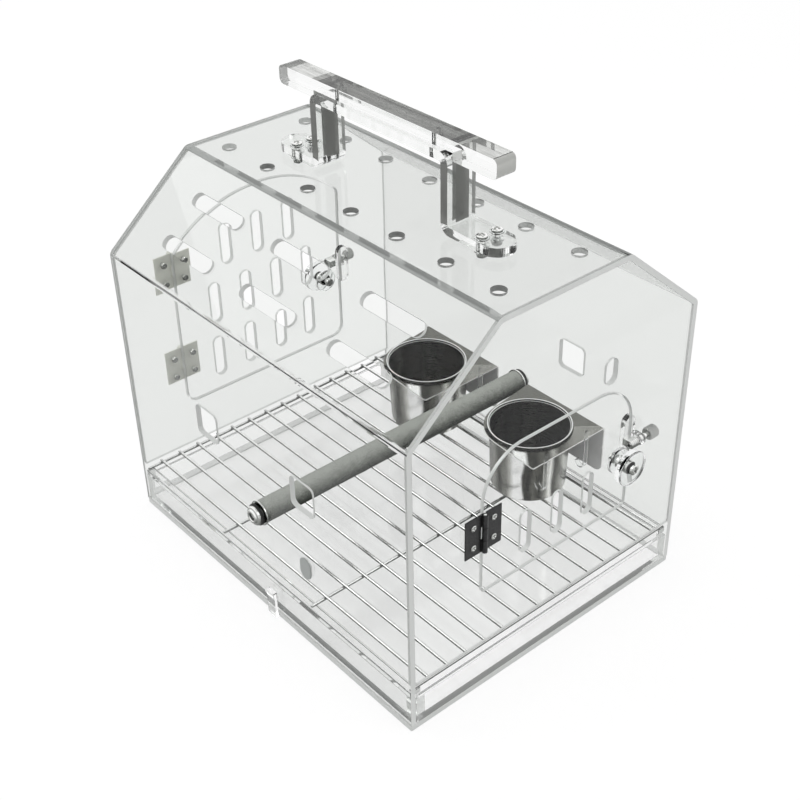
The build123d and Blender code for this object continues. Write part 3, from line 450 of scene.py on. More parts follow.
def tone(tree, shader, fac, dark, light):
    """Colours the surface between two hex colours by a grain value."""
    share = spread(tree, fac, 0.0, 1.0)
    mix = add_node(tree, "Mix", {"data_type": "RGBA"}, n0=share, n6=linear(dark), n7=linear(light))
    tree.links.new(mix.outputs[2], shader.inputs["Base Color"])


def painted_light_ramp(tree, shader, share, stops):
    """Paints light, shade or a reflection into a surface's colour: share from 0 to 1, mostly from
    the way it faces, picks from (place, colour) stops, as a mirror picks from the light and dark
    parts of a room."""
    ramp = add_node(tree, "ValToRGB", Fac=share)
    colours = ramp.color_ramp.elements
    while len(colours) < len(stops):
        colours.new(0.5)
    for element, (place, colour) in zip(colours, stops):
        element.position = place
        element.color = linear(colour)
    tree.links.new(ramp.outputs["Color"], shader.inputs["Base Color"])


def share_of(tree, value, first, last):
    """Where a value lies between first and last, 0 to 1."""
    ends = {"n1": first, "n2": last, "n3": 0.0, "n4": 1.0}
    return add_node(tree, "MapRange", n0=value, **ends).outputs["Result"]


def facing(tree, axis, fac=None, spoil=0.0):
    """How far a surface faces along an axis, 0 to 1, spoilt a little by a grain."""
    normal = add_node(tree, "NewGeometry").outputs["Normal"]
    along = add_node(tree, "SeparateXYZ", Vector=normal).outputs[axis]
    share = share_of(tree, along, -1.0, 1.0)
    if fac is None:
        return share
    spoilt = spread(tree, fac, -1.0, 1.0)
    added = add_node(tree, "Math", {"operation": "MULTIPLY_ADD"}, n0=spoilt, n1=spoil, n2=share)
    return added.outputs[0]


# Moulded plastic: an even grey with a soft sheen and a fine grained skin.
moulded_abs, tree, shader = opaque("moulded_grey_abs", "#a2a6a4", 0.0, 0.45)
rough(tree, shader, grain(tree, 0.6 * MM), 0.38, 0.55, 0.03 * MM)
plug = merged_copy("wall_plug", "plug", (moulded_abs,), True)
ease_edges(plug, 0.3 * MM)


# ---- butt hinges, with their screws and nuts ---------------------------------------------------
# Stamped and rolled steel. The big door has two satin stainless hinges, and the small door has one
# in black oxide. Pan-head screws go through leaf and sheet to a plain nut inside.
def grid_faces(rows, turns):
    """Quads between the rings of a surface with rows rings of turns points, closed around."""
    ring = np.arange(turns)
    row = np.arange(rows - 1)[:, None] * turns
    after = (ring + 1) % turns
    quads = [row + ring, row + after, row + turns + after, row + turns + ring]
    return np.stack(quads, -1).reshape(-1, 4)


def turned_grid(radius, height, place, axis):
    """Points place + axis * height + radius * (cos a * side + sin a * up), one ring for each row
    of the arrays and one angle a for each column."""
    axis = np.array(axis, float)
    side = np.array((0, 1, 0) if abs(axis[0]) > 0.5 else (1, 0, 0), float)
    up = np.cross(axis, side)
    angle = np.linspace(0, 2 * np.pi, radius.shape[1], endpoint=False)
    around = np.cos(angle)[:, None] * side + np.sin(angle)[:, None] * up
    return (np.array(place) + height[..., None] * axis + radius[..., None] * around).reshape(-1, 3)


def rounded(corners, reach, steps=4):
    """A profile with each inner corner replaced by a curve that starts and ends reach away:
    (1-t)^2 before + 2t(1-t) corner + t^2 after."""
    corners = np.array(corners, float)
    line = [corners[:1]]
    share = np.linspace(0, 1, steps)[:, None]
    for before, corner, after in zip(corners, corners[1:], corners[2:]):
        back, ahead = before - corner, after - corner
        start = corner + back * min(0.5, reach / np.linalg.norm(back))
        end = corner + ahead * min(0.5, reach / np.linalg.norm(ahead))
        line.append((1 - share) ** 2 * start + 2 * share * (1 - share) * corner + share**2 * end)
    line.append(corners[-1:])
    return np.concatenate(line)


def solid_piece(name, shells, node, materials, sharp=40):
    """One closed mesh from several (points, faces) shells, which stands for a CAD node."""
    points = np.concatenate([shell[0] for shell in shells])
    starts = np.cumsum([0] + [len(shell[0]) for shell in shells[:-1]])
    faces = np.concatenate([shell[1] + start for shell, start in zip(shells, starts)])
    mesh = bpy.data.meshes.new(name)
    mesh.from_pydata(points.tolist(), [], faces.tolist())
    shape = bmesh.new()
    shape.from_mesh(mesh)
    bmesh.ops.remove_doubles(shape, verts=shape.verts, dist=2 * weld_reach)
    bmesh.ops.recalc_face_normals(shape, faces=shape.faces)
    for face in shape.faces:
        face.smooth = True
    shape.to_mesh(mesh)
    shape.free()
    mesh.set_sharp_from_angle(angle=math.radians(sharp))
    return placed(name, mesh, materials, node)


def turned(profile, place, axis, turns=48):
    """A turned shell: the profile's (radius, height) pairs, the same at every angle."""
    profile = np.array(profile, float)
    radius = np.repeat(profile[:, :1], turns, 1)
    height = np.repeat(profile[:, 1:], turns, 1)
    return turned_grid(radius, height, place, axis), grid_faces(len(profile), turns)


def solid_boxes(node):
    """Lowest corner, highest corner and centre of each separate solid in a CAD node."""
    shape = joined_shape(node)
    boxes, seen = [], set()
    for start in shape.verts:
        if start in seen:
            continue
        group, edge = [], [start]
        seen.add(start)
        while edge:
            vert = edge.pop()
            group.append(vert.co[:])
            for link in vert.link_edges:
                other = link.other_vert(vert)
                if other not in seen:
                    seen.add(other)
                    edge.append(other)
        low, high = np.min(group, 0), np.max(group, 0)
        boxes.append((low, high, (low + high) / 2))
    shape.free()
    return boxes


def screw(gauge, reach, place, axis, turns=40):
    """A screw seated at place with its head out along axis. Its gauge is head radius, dome height,
    shank radius and thread pitch in millimetres. The head is a low dome with a cross recess, sunk
    where both |x| and |y| of the cross's arms say so, and the shank's radius falls and rises by a
    triangle wave of the height and the angle, which makes the thread."""
    head, dome, shank, pitch = (size * MM for size in gauge)
    angle = np.linspace(0, 2 * np.pi, turns, endpoint=False)
    ring = np.linspace(0, 1, 15)[:, None] * np.ones(turns)
    x, y = ring * np.cos(angle), ring * np.sin(angle)
    arm_half, arm_reach, arm_fade, recess = 0.17, 0.62, 0.3, 0.55
    one_arm = np.maximum(np.abs(x) / arm_half, np.abs(y) / arm_reach)
    other_arm = np.maximum(np.abs(x) / arm_reach, np.abs(y) / arm_half)
    inside = 1 + arm_fade / 2 - np.minimum(one_arm, other_arm)
    sunk = np.clip(inside / arm_fade, 0, 1) * dome * recess
    top_radius = ring * head
    top_height = dome * np.sqrt(1 - (0.86 * ring) ** 2) - sunk
    rows = max(12, int(4 * reach / pitch))
    down = np.linspace(0, 1, rows)[:, None] * np.ones(turns)
    thread = np.abs(((down * reach / pitch + angle / (2 * np.pi)) % 1) - 0.5) * 2
    thread_depth, neck, tip = 0.16, 0.92, 0.6
    shank_radius = shank * (1 - thread_depth * thread)
    shank_radius[0] = shank * neck
    flat = np.ones((1, turns))
    radius = np.concatenate([top_radius, flat * head, shank_radius, flat * shank * tip, flat * 0])
    height = np.concatenate([top_height, flat * 0, -down * reach, flat * -reach, flat * -reach])
    return turned_grid(radius, height, place, axis), grid_faces(len(radius), turns)


def nut(flats, bore, tall, place, axis, domed=False, turns=48):
    """A nut from place out along axis. Its radius is half the flats over the cosine of the angle
    from the nearest flat's middle, cut down to a cone near both ends. A domed one is closed."""
    angle = np.linspace(0, 2 * np.pi, turns, endpoint=False)
    hexagon = flats / 2 / np.cos((angle + np.pi / 6) % (np.pi / 3) - np.pi / 6)
    flat = np.ones(turns)
    seat = flat * flats / 2
    bevel, dome_radius = 0.12, 0.44 * flats
    if domed:
        half = tall / 2
        lift = np.linspace(0, np.pi / 2, 8)
        rings = [(flat * 0, 0), (seat, 0), (hexagon, bevel * half)]
        rings += [(hexagon, 0.9 * half), (seat * 0.95, half)]
        rings += [(flat * dome_radius * np.cos(a), half + half * np.sin(a)) for a in lift]
    else:
        rings = [(flat * bore, 0), (seat, 0), (hexagon, bevel * tall)]
        rings += [(hexagon, (1 - bevel) * tall), (seat, tall)]
        rings += [(flat * bore, tall), (flat * bore, 0)]
    radius = np.array([ring[0] for ring in rings])
    height = np.array([ring[1] * flat for ring in rings])
    return turned_grid(radius, height, place, axis), grid_faces(len(radius), turns)


def set_screws(node, gauge, head_depth, along, out, metal, turns=40):
    """Turns each solid of a CAD node into a screw along axis 0, 1 or 2. Its head faces out, 1 or
    -1, or away from the carrier's middle where out is 0."""
    shells = []
    for low, high, seat in solid_boxes(node):
        way = out or np.sign(seat[along])
        reach = high[along] - low[along] - head_depth
        seat[along] = high[along] - head_depth if way > 0 else low[along] + head_depth
        shells.append(screw(gauge, reach, seat, way * np.eye(3)[along], turns))
    solid_piece(node + "_threaded", shells, node, (metal,))


def set_nuts(node, flats, bore, along, domed=False):
    """Turns each solid of a CAD node into a nut along axis 0, 1 or 2."""
    shells = []
    for low, high, seat in solid_boxes(node):
        seat[along] = low[along]
        tall = high[along] - low[along]
        shells.append(nut(flats, bore, tall, seat, np.eye(3)[along], domed))
    solid_piece(node + ("_domed" if domed else "_hex"), shells, node, (screw_steel,))


# Stops of a painted reflection of the room in steel: dark where a face turns down, bright where it
# turns up.
painted_room_reflection = [
    (0.0, "#4c4d4b"), (0.4, "#6d6f6c"), (0.58, "#9b9d9a"), (0.75, "#e9eae8"),
    (1.0, "#fbfbfa"),
]
# Satin stainless: pale and even, with faint upright brushing.
stainless, tree, shader = opaque("satin_stainless", "#f2f3ea", 0.1, 0.45)
rough(tree, shader, grain(tree, 0.5 * MM, (1, 1, 6)), 0.34, 0.5, 0.004 * MM)
# Plated screw steel: a painted reflection of table and room, dark below and bright above.
screw_steel, tree, shader = opaque("bright_screw_steel", "#cbcac6", 1.0, 0.2)
painted_light_ramp(tree, shader, facing(tree, "Z"), painted_room_reflection)
rough(tree, shader, grain(tree, 0.4 * MM), 0.16, 0.3, 0.003 * MM)
# Black oxide: a dark, slightly mottled skin with a dull sheen.
black_oxide, tree, shader = opaque("black_oxide_steel", "#1f1f20", 0.6, 0.34)
tone(tree, shader, grain(tree, 2.0 * MM), "#161617", "#303031")
rough(tree, shader, grain(tree, 0.5 * MM), 0.26, 0.45, 0.006 * MM)
hinge_finish = {"big": stainless, "small": black_oxide}
hinge_nodes = {
    "big": ("big_door_hinge_frame_leaves", "big_door_hinge_door_leaves", "big_door_hinge_pins"),
    "small": ("small_door_hinge_frame_leaf", "small_door_hinge_door_leaf", "small_door_hinge_pin"),
}
for door_name, nodes in hinge_nodes.items():
    for node in nodes:
        finish = screw_steel if node.endswith("_pin") else hinge_finish[door_name]
        leaf = merged_copy(node, node + "_rolled", (finish,), True)
        ease_edges(leaf, 0.18 * MM, angle=40)

hinge_gauge, hinge_head_depth = (2.9, 1.25, 1.5, 0.5), 1.3 * MM
for node in ("hinge_frame_screws", "big_door_hinge_screws", "small_door_hinge_screws"):
    set_screws(node, hinge_gauge, hinge_head_depth, 0, 0, screw_steel)
hinge_nut_flats, hinge_nut_bore = 5.5 * MM, 1.65 * MM
for node in ("hinge_frame_nuts", "big_door_hinge_nuts", "small_door_hinge_nuts"):
    set_nuts(node, hinge_nut_flats, hinge_nut_bore, 0)


# ---- door knobs and slide bolts ----------------------------------------------------------------
# Each knob is two clear turned discs on a screw, with a chromed spacer. The bolt is a chromed pin
# with a knurled grip, which runs through a clear guide into a ribbed chromed barrel on the door.

# Chrome plate: a clean mirror, with a painted reflection of the room, dark below and white above.
chrome, tree, shader = opaque("chrome_plate", "#dcdcdc", 1.0, 0.08)
painted_light_ramp(tree, shader, facing(tree, "Z"), painted_room_reflection)
rough(tree, shader, grain(tree, 1.5 * MM), 0.05, 0.14, 0.002 * MM)
# Knurled nickel: grey, dulled by its crossed grooves.
knurled, tree, shader = opaque("knurled_nickel", "#a9aaa8", 1.0, 0.3)
rough(tree, shader, grain(tree, 0.4 * MM), 0.22, 0.42, 0.004 * MM)
# Thick turned acrylic: clear, with its own bright and dark inner reflections.
clear_block = acrylic_face("turned_acrylic", "#fbfcfc", 4.0)


def box_of(node):
    """Lowest corner, highest corner and centre of a CAD node, as arrays."""
    low, high = (np.array(corner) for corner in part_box(node))
    return low, high, (low + high) / 2


groove_depth, grip_bevel, starts, twist = 0.35 * MM, 1.0 * MM, 18, 14


def knurl(radius, length, place, axis, turns=144, rows=41):
    """A grip whose radius dips by the product of two crossed sine waves, with bevelled ends."""
    along = np.linspace(0, 1, rows)[:, None]
    angle = np.linspace(0, 2 * np.pi, turns, endpoint=False)
    one_way = np.abs(np.sin(starts * angle + twist * along))
    waves = one_way * np.abs(np.sin(starts * angle - twist * along))
    plain = np.clip(np.minimum(along, 1 - along) / 0.12, 0, 1)
    grooved = radius - groove_depth * (1 - waves) * (plain >= 1) - grip_bevel * (1 - plain)
    flat = np.zeros((1, turns))
    grip_radius = np.concatenate([flat, grooved, flat])
    height = np.concatenate([flat, along * length * np.ones(turns), flat + length])
    return turned_grid(grip_radius, height, place, axis), grid_faces(len(grip_radius), turns)


def closed(profile):
    """The profile with its first point again at its end."""
    return np.concatenate([profile, profile[:1]])


knob_gauge, knob_head_depth, pin_bevel = (5, 2.9, 2.5, 0.8), 3 * MM, 0.6 * MM
bore, nut_flats = 2.65 * MM, 8 * MM
for door_name, out in (("big", -1), ("small", 1)):
    door = door_name + "_door"
    for node, edge_radius in ((door + "_knob_disc", 1.8), (door + "_knob_back_disc", 1.2)):
        low, high, centre = box_of(node)
        half, thick = (high[1] - low[1]) / 2, high[0] - low[0]
        profile = rounded([(bore, 0), (half, 0), (half, thick), (bore, thick)], edge_radius * MM, 6)
        disc = turned(closed(profile), (low[0], *centre[1:]), (1, 0, 0), 96)
        solid_piece(node + "_turned", [disc], node, (clear_block,))
    node = door + "_knob_spacer"
    low, high, centre = box_of(node)
    half, thick = (high[1] - low[1]) / 2, high[0] - low[0]
    waist = half * 0.86
    profile = [(bore, 0), (half, 0), (half, 0.3 * thick), (waist, 0.36 * thick)]
    profile += [(waist, 0.64 * thick), (half, 0.7 * thick), (half, thick), (bore, thick)]
    profile = closed(rounded(profile, 0.4 * MM))
    spool = turned(profile, (low[0], *centre[1:]), (1, 0, 0), 64)
    solid_piece(node + "_turned", [spool], node, (chrome,))
    set_screws(door + "_knob_screw", knob_gauge, knob_head_depth, 0, out, chrome, 56)
    set_nuts(door + "_knob_nut", nut_flats, bore, 0)
    node = door_name + "_bolt_keeper"
    ease_edges(merged_copy(node, node + "_ribbed", (chrome,), True), 0.22 * MM, angle=40)
    node = door_name + "_slide_bolt"
    low, high, centre = box_of(node)
    half, long = (high[0] - low[0]) / 2, high[1] - low[1]
    profile = [(0, 0), (half - pin_bevel, 0), (half, pin_bevel), (half, long), (0, long)]
    rod = turned(rounded(profile, pin_bevel / 2), (centre[0], low[1], centre[2]), (0, 1, 0))
    solid_piece(node + "_pin", [rod], node, (chrome,))
    node = door_name + "_bolt_knob"
    low, high, centre = box_of(node)
    half = (high[0] - low[0]) / 2
    grip = knurl(half, high[1] - low[1], (centre[0], low[1], centre[2]), (0, 1, 0))
    solid_piece(node + "_knurled", [grip], node, (knurled,), sharp=60)


# ---- perch -------------------------------------------------------------------------------------
# A hard rod in a coat of fine grey grit that files the bird's claws. A chromed bolt with a domed
# head and a black rubber washer holds it at each wall, with a chromed seat inside.

# Grey grit: rough all over and speckled, with painted light that makes it lighter where it turns up
# to the light, and painted shade where it turns down.
grit, tree, shader = opaque("grey_grit_coat", "#7d807c", 0.0, 0.9, Specular_IOR_Level=0.3)
fine = grain(tree, 0.8 * MM, detail=5.0)
coarse = grain(tree, 6.0 * MM, detail=3.0)
coarse_share = 0.35
blend = add_node(tree, "Math", {"operation": "MULTIPLY_ADD"}, n0=coarse, n1=coarse_share, n2=fine)
evened = add_node(tree, "Math", {"operation": "DIVIDE"}, n0=blend.outputs[0], n1=1 + coarse_share)
grit_speckle_and_painted_shade = [(0.1, "#1f221e"), (0.45, "#474a45"), (0.7, "#7b7e78"), (1.0, "#b2b5af")]
painted_light_ramp(tree, shader, facing(tree, "Z", evened.outputs[0], 0.22), grit_speckle_and_painted_shade)
rough(tree, shader, fine, 0.8, 1.0, 0.25 * MM)
# Rubber: black, with a dull even sheen.
rubber, tree, shader = opaque("black_rubber", "#161616", 0.0, 0.6)
rough(tree, shader, grain(tree, 0.7 * MM), 0.5, 0.7, 0.01 * MM)


def grit_height(rows, turns, seed):
    """Random heights from 0 to 1 on a grid, closed around, each the mean of its eight neighbours
    and itself."""
    heights = np.random.default_rng(seed).random((rows, turns))
    return sum(np.roll(heights, (i, j), (0, 1)) for i in (-1, 0, 1) for j in (-1, 0, 1)) / 9


low, high, perch_centre = box_of("perch")
perch_radius = (high[0] - low[0]) / 2
perch_length = high[1] - low[1]
seat_bore, grit_depth = 4.15 * MM, 0.45 * MM
rows, turns = 385, 96
along = np.linspace(0, perch_length, rows)[:, None] * np.ones(turns)
radius = perch_radius - grit_depth * grit_height(rows, turns, 3)
flat = np.zeros((1, turns))
hollow = flat + seat_bore
perch_radii = np.concatenate([hollow, radius, hollow, hollow])
perch_heights = np.concatenate([flat, along, flat + perch_length, flat])
perch_end = (perch_centre[0], low[1], perch_centre[2])
rod = turned_grid(perch_radii, perch_heights, perch_end, (0, 1, 0))
solid_piece("perch_grit_rod", [(rod, grid_faces(len(perch_radii), turns))], "perch", (grit,))


def perch_rings(node, profile, material):
    """A turned ring or bolt at both walls. Its profile is in millimetres, with the heights measured
    out from each wall's outer face."""
    shells = []
    for side in (-1, 1):
        place = (perch_centre[0], side * shell_high[1], perch_centre[2])
        shells.append(turned(profile, place, (0, side, 0), 64))
    solid_piece(node + "_turned", shells, node, (material,))


def ring_profile(inner, outer, low, high, reach):
    """The closed profile of a flat ring in millimetres, its corners rounded by reach."""
    corners = [(inner, low), (outer, low), (outer, high), (inner, high), (inner, low)]
    return rounded(np.array(corners) * MM, reach * MM)


socket = [(0, 3.4), (3.4, 3.6), (3.6, 6.4), (4.4, 7), (6.2, 6.8), (6.8, 5.2), (8.6, 4.9)]
head_profile = socket + [(9.25, 4.2), (9.25, 2), (4, 2), (4, -26.2), (0, -26.2)]
perch_rings("perch_bolts", rounded(np.array(head_profile) * MM, 0.3 * MM), chrome)
perch_rings("perch_washers", ring_profile(4.15, 10.5, 0, 2, 0.5), rubber)
perch_rings("perch_seats", ring_profile(4.15, 12, -6.5, -5, 0.35), chrome)


# ---- cups and their holders --------------------------------------------------------------------
# Stainless cups, spun and brushed around, with a rolled rim. Each hangs in a bent plate of brushed
# stainless that is screwed through the back wall. Two clear sprung strips grip the plate's side.
def facing_round(tree):
    """Which way a surface faces round the upright axis: the angle of its normal, 0 to 1."""
    normal = add_node(tree, "NewGeometry").outputs["Normal"]
    parts = add_node(tree, "SeparateXYZ", Vector=normal).outputs
    angle = add_node(tree, "Math", {"operation": "ARCTAN2"}, n0=parts["Y"], n1=parts["X"])
    return share_of(tree, angle.outputs[0], -math.pi, math.pi)


# Spun stainless outside: a soft mirror, with a painted reflection of the room in upright bright and
# dark bands by the way each face turns round the axis.
spun, tree, shader = opaque("spun_stainless", "#a09f9b", 1.0, 0.2, Anisotropic=0.6)
rings = grain(tree, 8.0 * MM, (1, 1, 40), 3.0)
rough(tree, shader, rings, 0.14, 0.3, 0.01 * MM)
outer_painted_reflection_bands = [
    (0.0, "#6a6a65"), (0.16, "#2c2c28"), (0.2, "#8c8c87"), (0.243, "#3a3a36"),
    (0.284, "#8c8c87"), (0.303, "#cfcfcb"), (0.317, "#ffffff"), (0.349, "#ffffff"),
    (0.362, "#3a3a35"), (0.385, "#22221e"), (0.406, "#5a5a54"), (0.43, "#32322d"),
    (0.456, "#a8a8a3"), (0.473, "#f4f4f1"), (0.492, "#3a3a36"), (0.513, "#84847f"),
    (0.552, "#c8c8c4"), (0.61, "#4a4a45"), (1.0, "#6a6a65"),
]
warp = grain(tree, 22.0 * MM, (1, 1, 0.5), 1.0)
wander = spread(tree, warp, -0.012, 0.012)
swum = add_node(tree, "Math", n0=wander, n1=facing_round(tree))
painted_light_ramp(tree, shader, swum.outputs[0], outer_painted_reflection_bands)
# Spun stainless inside: painted shade, dark, with one soft upright glow and a fainter second band,
# both painted reflected light.
spun_inside, tree, shader = opaque("spun_stainless_inside", "#6b6b66", 1.0, 0.25)
rings = grain(tree, 8.0 * MM, (1, 1, 30), 3.0)
rough(tree, shader, rings, 0.2, 0.34, 0.01 * MM)
inner_painted_shade_and_glow = [
    (0.0, "#41423c"), (0.29, "#41423c"), (0.335, "#6a6b65"), (0.37, "#b4b5ae"),
    (0.41, "#4c4d47"), (0.48, "#3a3b35"), (0.52, "#84857e"), (0.57, "#44453f"),
    (1.0, "#41423c"),
]
painted_light_ramp(tree, shader, facing_round(tree), inner_painted_shade_and_glow)
# Rolled rim, polished evenly by the roller: a painted highlight as a fine bright line along its
# top, on a bead painted dark.
rim_steel, tree, shader = opaque("spun_stainless_rim", "#d0d0cc", 1.0, 0.3)
rim_painted_highlight = [(0.0, "#1c1d19"), (0.9, "#3a3b36"), (0.96, "#ffffff")]
painted_light_ramp(tree, shader, facing(tree, "Z"), rim_painted_highlight)
# Brushed plate of the holders, with fine lines: a painted reflection makes it mid grey on top and
# light on its edges.
brushed, tree, shader = opaque("brushed_stainless_plate", "#8b8a85", 1.0, 0.32)
lines = grain(tree, 12.0 * MM, (1, 24, 24), 3.0)
rough(tree, shader, lines, 0.25, 0.42, 0.006 * MM)
plate_painted_reflection_tones = [
    (0.0, "#8a8a85"), (0.4, "#dcdddb"), (0.55, "#e6e7e5"), (0.8, "#a9a9a4"),
    (0.97, "#7b7b76"),
]
painted_light_ramp(tree, shader, facing(tree, "Z", lines, 0.02), plate_painted_reflection_tones)
# Upright flange of the holders: pale satin, painted near white as a painted reflection of the lit
# wall behind it.
flange_steel, tree, shader = opaque("brushed_stainless_flange", "#fdfdfc", 0.0, 0.35)
rough(tree, shader, grain(tree, 12.0 * MM, (24, 24, 1), 3.0), 0.3, 0.45, 0.004 * MM)
# Sizes of the cup's profile in millimetres.
cup_wall, cup_bead, cup_height, bead_out = 1.0, 1.2, 66.0, 0.6
top_radius, bottom_radius, foot_corner = 39.3, 36.3, 4.0
under_rim = cup_height - 0.6
outside = rounded([(0, 0), (bottom_radius, 0), (top_radius - 0.4, under_rim)], foot_corner, 8)
inner_bottom = bottom_radius - cup_wall
inside = [(top_radius - cup_wall, under_rim), (inner_bottom, cup_wall), (0, cup_wall)]
inside = rounded(inside, foot_corner - cup_wall, 8)
rim = np.radians(np.linspace(-120, 200, 19))
bead_radius = top_radius + bead_out + cup_bead * np.cos(rim)
bead = np.stack([bead_radius, cup_height + cup_bead * np.sin(rim)], 1)
profile = np.concatenate([outside, bead, inside]) * MM
floor_reach, rim_depth = 6 * MM, 2.6 * MM
for node in ("cup_1", "cup_2"):
    low, high, centre = box_of(node)
    cup_shell = turned(profile, (centre[0], centre[1], low[2]), (0, 0, 1), 128)
    cup = solid_piece(node + "_spun", [cup_shell], node, (spun, spun_inside, rim_steel))

    def cup_faces(normals, centres):
        """Outside, inside or rim: the inside turns to the axis, or is the floor."""
        off_axis = centres[:, :2] - centre[:2]
        inward = (normals[:, :2] * off_axis).sum(1) < -0.5 * np.linalg.norm(off_axis, axis=1)
        floor = (normals[:, 2] > 0.3) & (centres[:, 2] < low[2] + floor_reach)
        on_rim = centres[:, 2] > high[2] - rim_depth
        return np.where(on_rim, 2, inward | floor)

    pick_faces(cup, cup_faces)
# Thin clear strip: seen by its bright and dark edges.
clear_strip = acrylic_face("clear_sprung_strip", "#fafbfb", 6.0)
across_plate = np.array([0.64, 0.77, 0.0])
front_of_plate = np.array([0.77, -0.64, 0.0])
front_painted_reflection_bands = [
    (0.0, "#3a3a36"), (0.12, "#8c8c87"), (0.22, "#4a4a45"), (0.27, "#ffffff"),
    (0.38, "#ffffff"), (0.42, "#3a3a35"), (0.5, "#2a2a26"), (0.58, "#5a5a54"),
    (0.66, "#32322d"), (0.72, "#b8b8b3"), (0.8, "#4a4a45"), (1.0, "#9a9a95"),
]


def painted_reflection_corner(number, centre):
    """Plate whose flat front corner carries a painted reflection of the room, in bands painted
    across its width by place.
    """
    corner, tree, shader = opaque(f"plate_corner_painted_reflection_{number}", "#8b8a85", 1.0, 0.2)
    place = add_node(tree, "TexCoord").outputs["Object"]
    along = add_node(tree, "VectorMath", {"operation": "DOT_PRODUCT"}, n0=place, n1=across_plate)
    middle_of_cup = float(centre @ across_plate)
    first, last = middle_of_cup - top_radius * MM, middle_of_cup + top_radius * MM
    painted_light_ramp(tree, shader, share_of(tree, along.outputs["Value"], first, last), front_painted_reflection_bands)
    rough(tree, shader, grain(tree, 8.0 * MM), 0.14, 0.3, 0.004 * MM)
    return corner


for number in (1, 2):
    centre = box_of(f"cup_{number}")[2]
    finishes = (brushed, flange_steel, painted_reflection_corner(number, centre))
    plate = merged_copy(f"cup_holder_{number}", f"cup_holder_{number}_bent", finishes, True)
    cut_line = centre + 0.1 * top_radius * MM * front_of_plate
    cut_across(plate, [(cut_line, front_of_plate)])

    def plate_faces(normals, centres):
        """Flat top and underside, upright flange, or the front corner."""
        ahead = (centres - cut_line) @ front_of_plate > 0
        return np.where(np.abs(normals[:, 2]) < 0.5, 1, np.where(ahead, 2, 0))

    pick_faces(plate, plate_faces)
    ease_edges(plate, 0.3 * MM)
    clips = merged_copy(f"cup_clips_{number}", f"cup_clips_{number}_sprung", (clear_strip,))
    ease_edges(clips, 0.25 * MM)
set_screws("cup_holder_screws", (3.6, 2.1, 2, 0.7), 2.2 * MM, 1, -1, screw_steel)
set_nuts("cup_holder_nuts", 7 * MM, 2.15 * MM, 1, True)


# ---- wire grate --------------------------------------------------------------------------------
# Fourteen long stainless wires, spot-welded onto four cross wires, with ground round ends.

# Bright drawn wire: a painted white highlight along its top, on sides painted grey and dark below
# as painted shade.
wire_steel, tree, shader = opaque("bright_drawn_wire", "#c9c9c7", 1.0, 0.2)
wire_painted_light_tones = [
    (0.0, "#4a4c4a"), (0.55, "#565856"), (0.72, "#7c7e7c"), (0.82, "#8e908e"),
    (0.88, "#ffffff"),
]
painted_light_ramp(tree, shader, facing(tree, "Z"), wire_painted_light_tones)
rough(tree, shader, grain(tree, 1.2 * MM), 0.14, 0.32, 0.004 * MM)
wire_radius = 1.5 * MM
quarter = np.linspace(0, np.pi / 2, 5)
round_end = [(wire_radius * math.sin(a), wire_radius * (1 - math.cos(a))) for a in quarter]
low, high = box_of("wire_grate")[:2]


def wire(start, length, axis):
    """A straight round wire from start along axis, with a half-ball at each end."""
    far_end = [(r, length - h) for r, h in reversed(round_end)]
    return turned(round_end + far_end, start, axis, 16)


wire_pitch, wire_count, cross_x = 21.3 * MM, 14, 67 * MM
shells = []
for index in range(wire_count):
    y = (index - (wire_count - 1) / 2) * wire_pitch
    shells.append(wire((low[0], y, high[2] - wire_radius), high[0] - low[0], (1, 0, 0)))
end_x = high[0] - wire_radius
for x in (-end_x, -cross_x, cross_x, end_x):
    shells.append(wire((x, low[1], low[2] + wire_radius), high[1] - low[1], (0, 1, 0)))
solid_piece("welded_grate", shells, "wire_grate", (wire_steel,))


# ---- drip tray ---------------------------------------------------------------------------------
# Clear acrylic, four sides cemented round a floor, which slides in over the base plate.

# Cemented joint: clear but pale, from the fine bubbles and the cut faces inside it.
cemented_joint = acrylic_edge("cemented_acrylic_joint", "#eceeec", 0.2, 0.45)
tray = merged_copy("drip_tray", "drip_tray_box", (clear_face, cemented_joint, sheet_corner))
low, high = box_of("drip_tray")[:2]
corner_joint, foot_joint = 9 * MM, 8 * MM
foot_z = low[2] + foot_joint
inner_low, inner_high = low + corner_joint, high - corner_joint
cuts = [((0, 0, foot_z), (0, 0, 1))]
cuts += [((x, 0, 0), (1, 0, 0)) for x in (inner_low[0], inner_high[0])]
cuts += [((0, y, 0), (0, 1, 0)) for y in (inner_low[1], inner_high[1])]
cut_across(tray, cuts)


def tray_faces(normals, centres):
    """Outer faces are pale where a cemented joint lies behind them: at the foot and the corners."""
    corner_x = (centres[:, 0] < inner_low[0]) | (centres[:, 0] > inner_high[0])
    corner_y = (centres[:, 1] < inner_low[1]) | (centres[:, 1] > inner_high[1])
    upright = np.abs(normals[:, 2]) < 0.5
    outside = (centres * normals).sum(1) > 0
    at_joint = (centres[:, 2] < foot_z) | (corner_x & corner_y)
    return upright & outside & at_joint


pick_faces(tray, tray_faces)
ease_edges(tray, 0.4 * MM, corner_slot)


# ---- handle ------------------------------------------------------------------------------------
# A bar and a hat-shaped strap of thick clear acrylic with polished edges. Screws hold the bar to
# the strap from below, and four bolts with clear washers hold the strap's feet to the roof.
def painted_streak_acrylic(name, dark, light, stretch, size):
    """Thick clear acrylic with long streaks from dark to light painted into its colour, as a
    painted reflection of its inner faces.
    """
    face = dict(Base_Color=linear(light), Roughness=0.02, IOR=1.49, Transmission_Weight=1.0)
    material = clear_plastic(name, face, "#e2e4e3")
    tree = material.node_tree
    shader = next(node for node in tree.nodes if node.type == "BSDF_PRINCIPLED")
    tone(tree, shader, grain(tree, size, stretch, 3.0), dark, light)
    return material
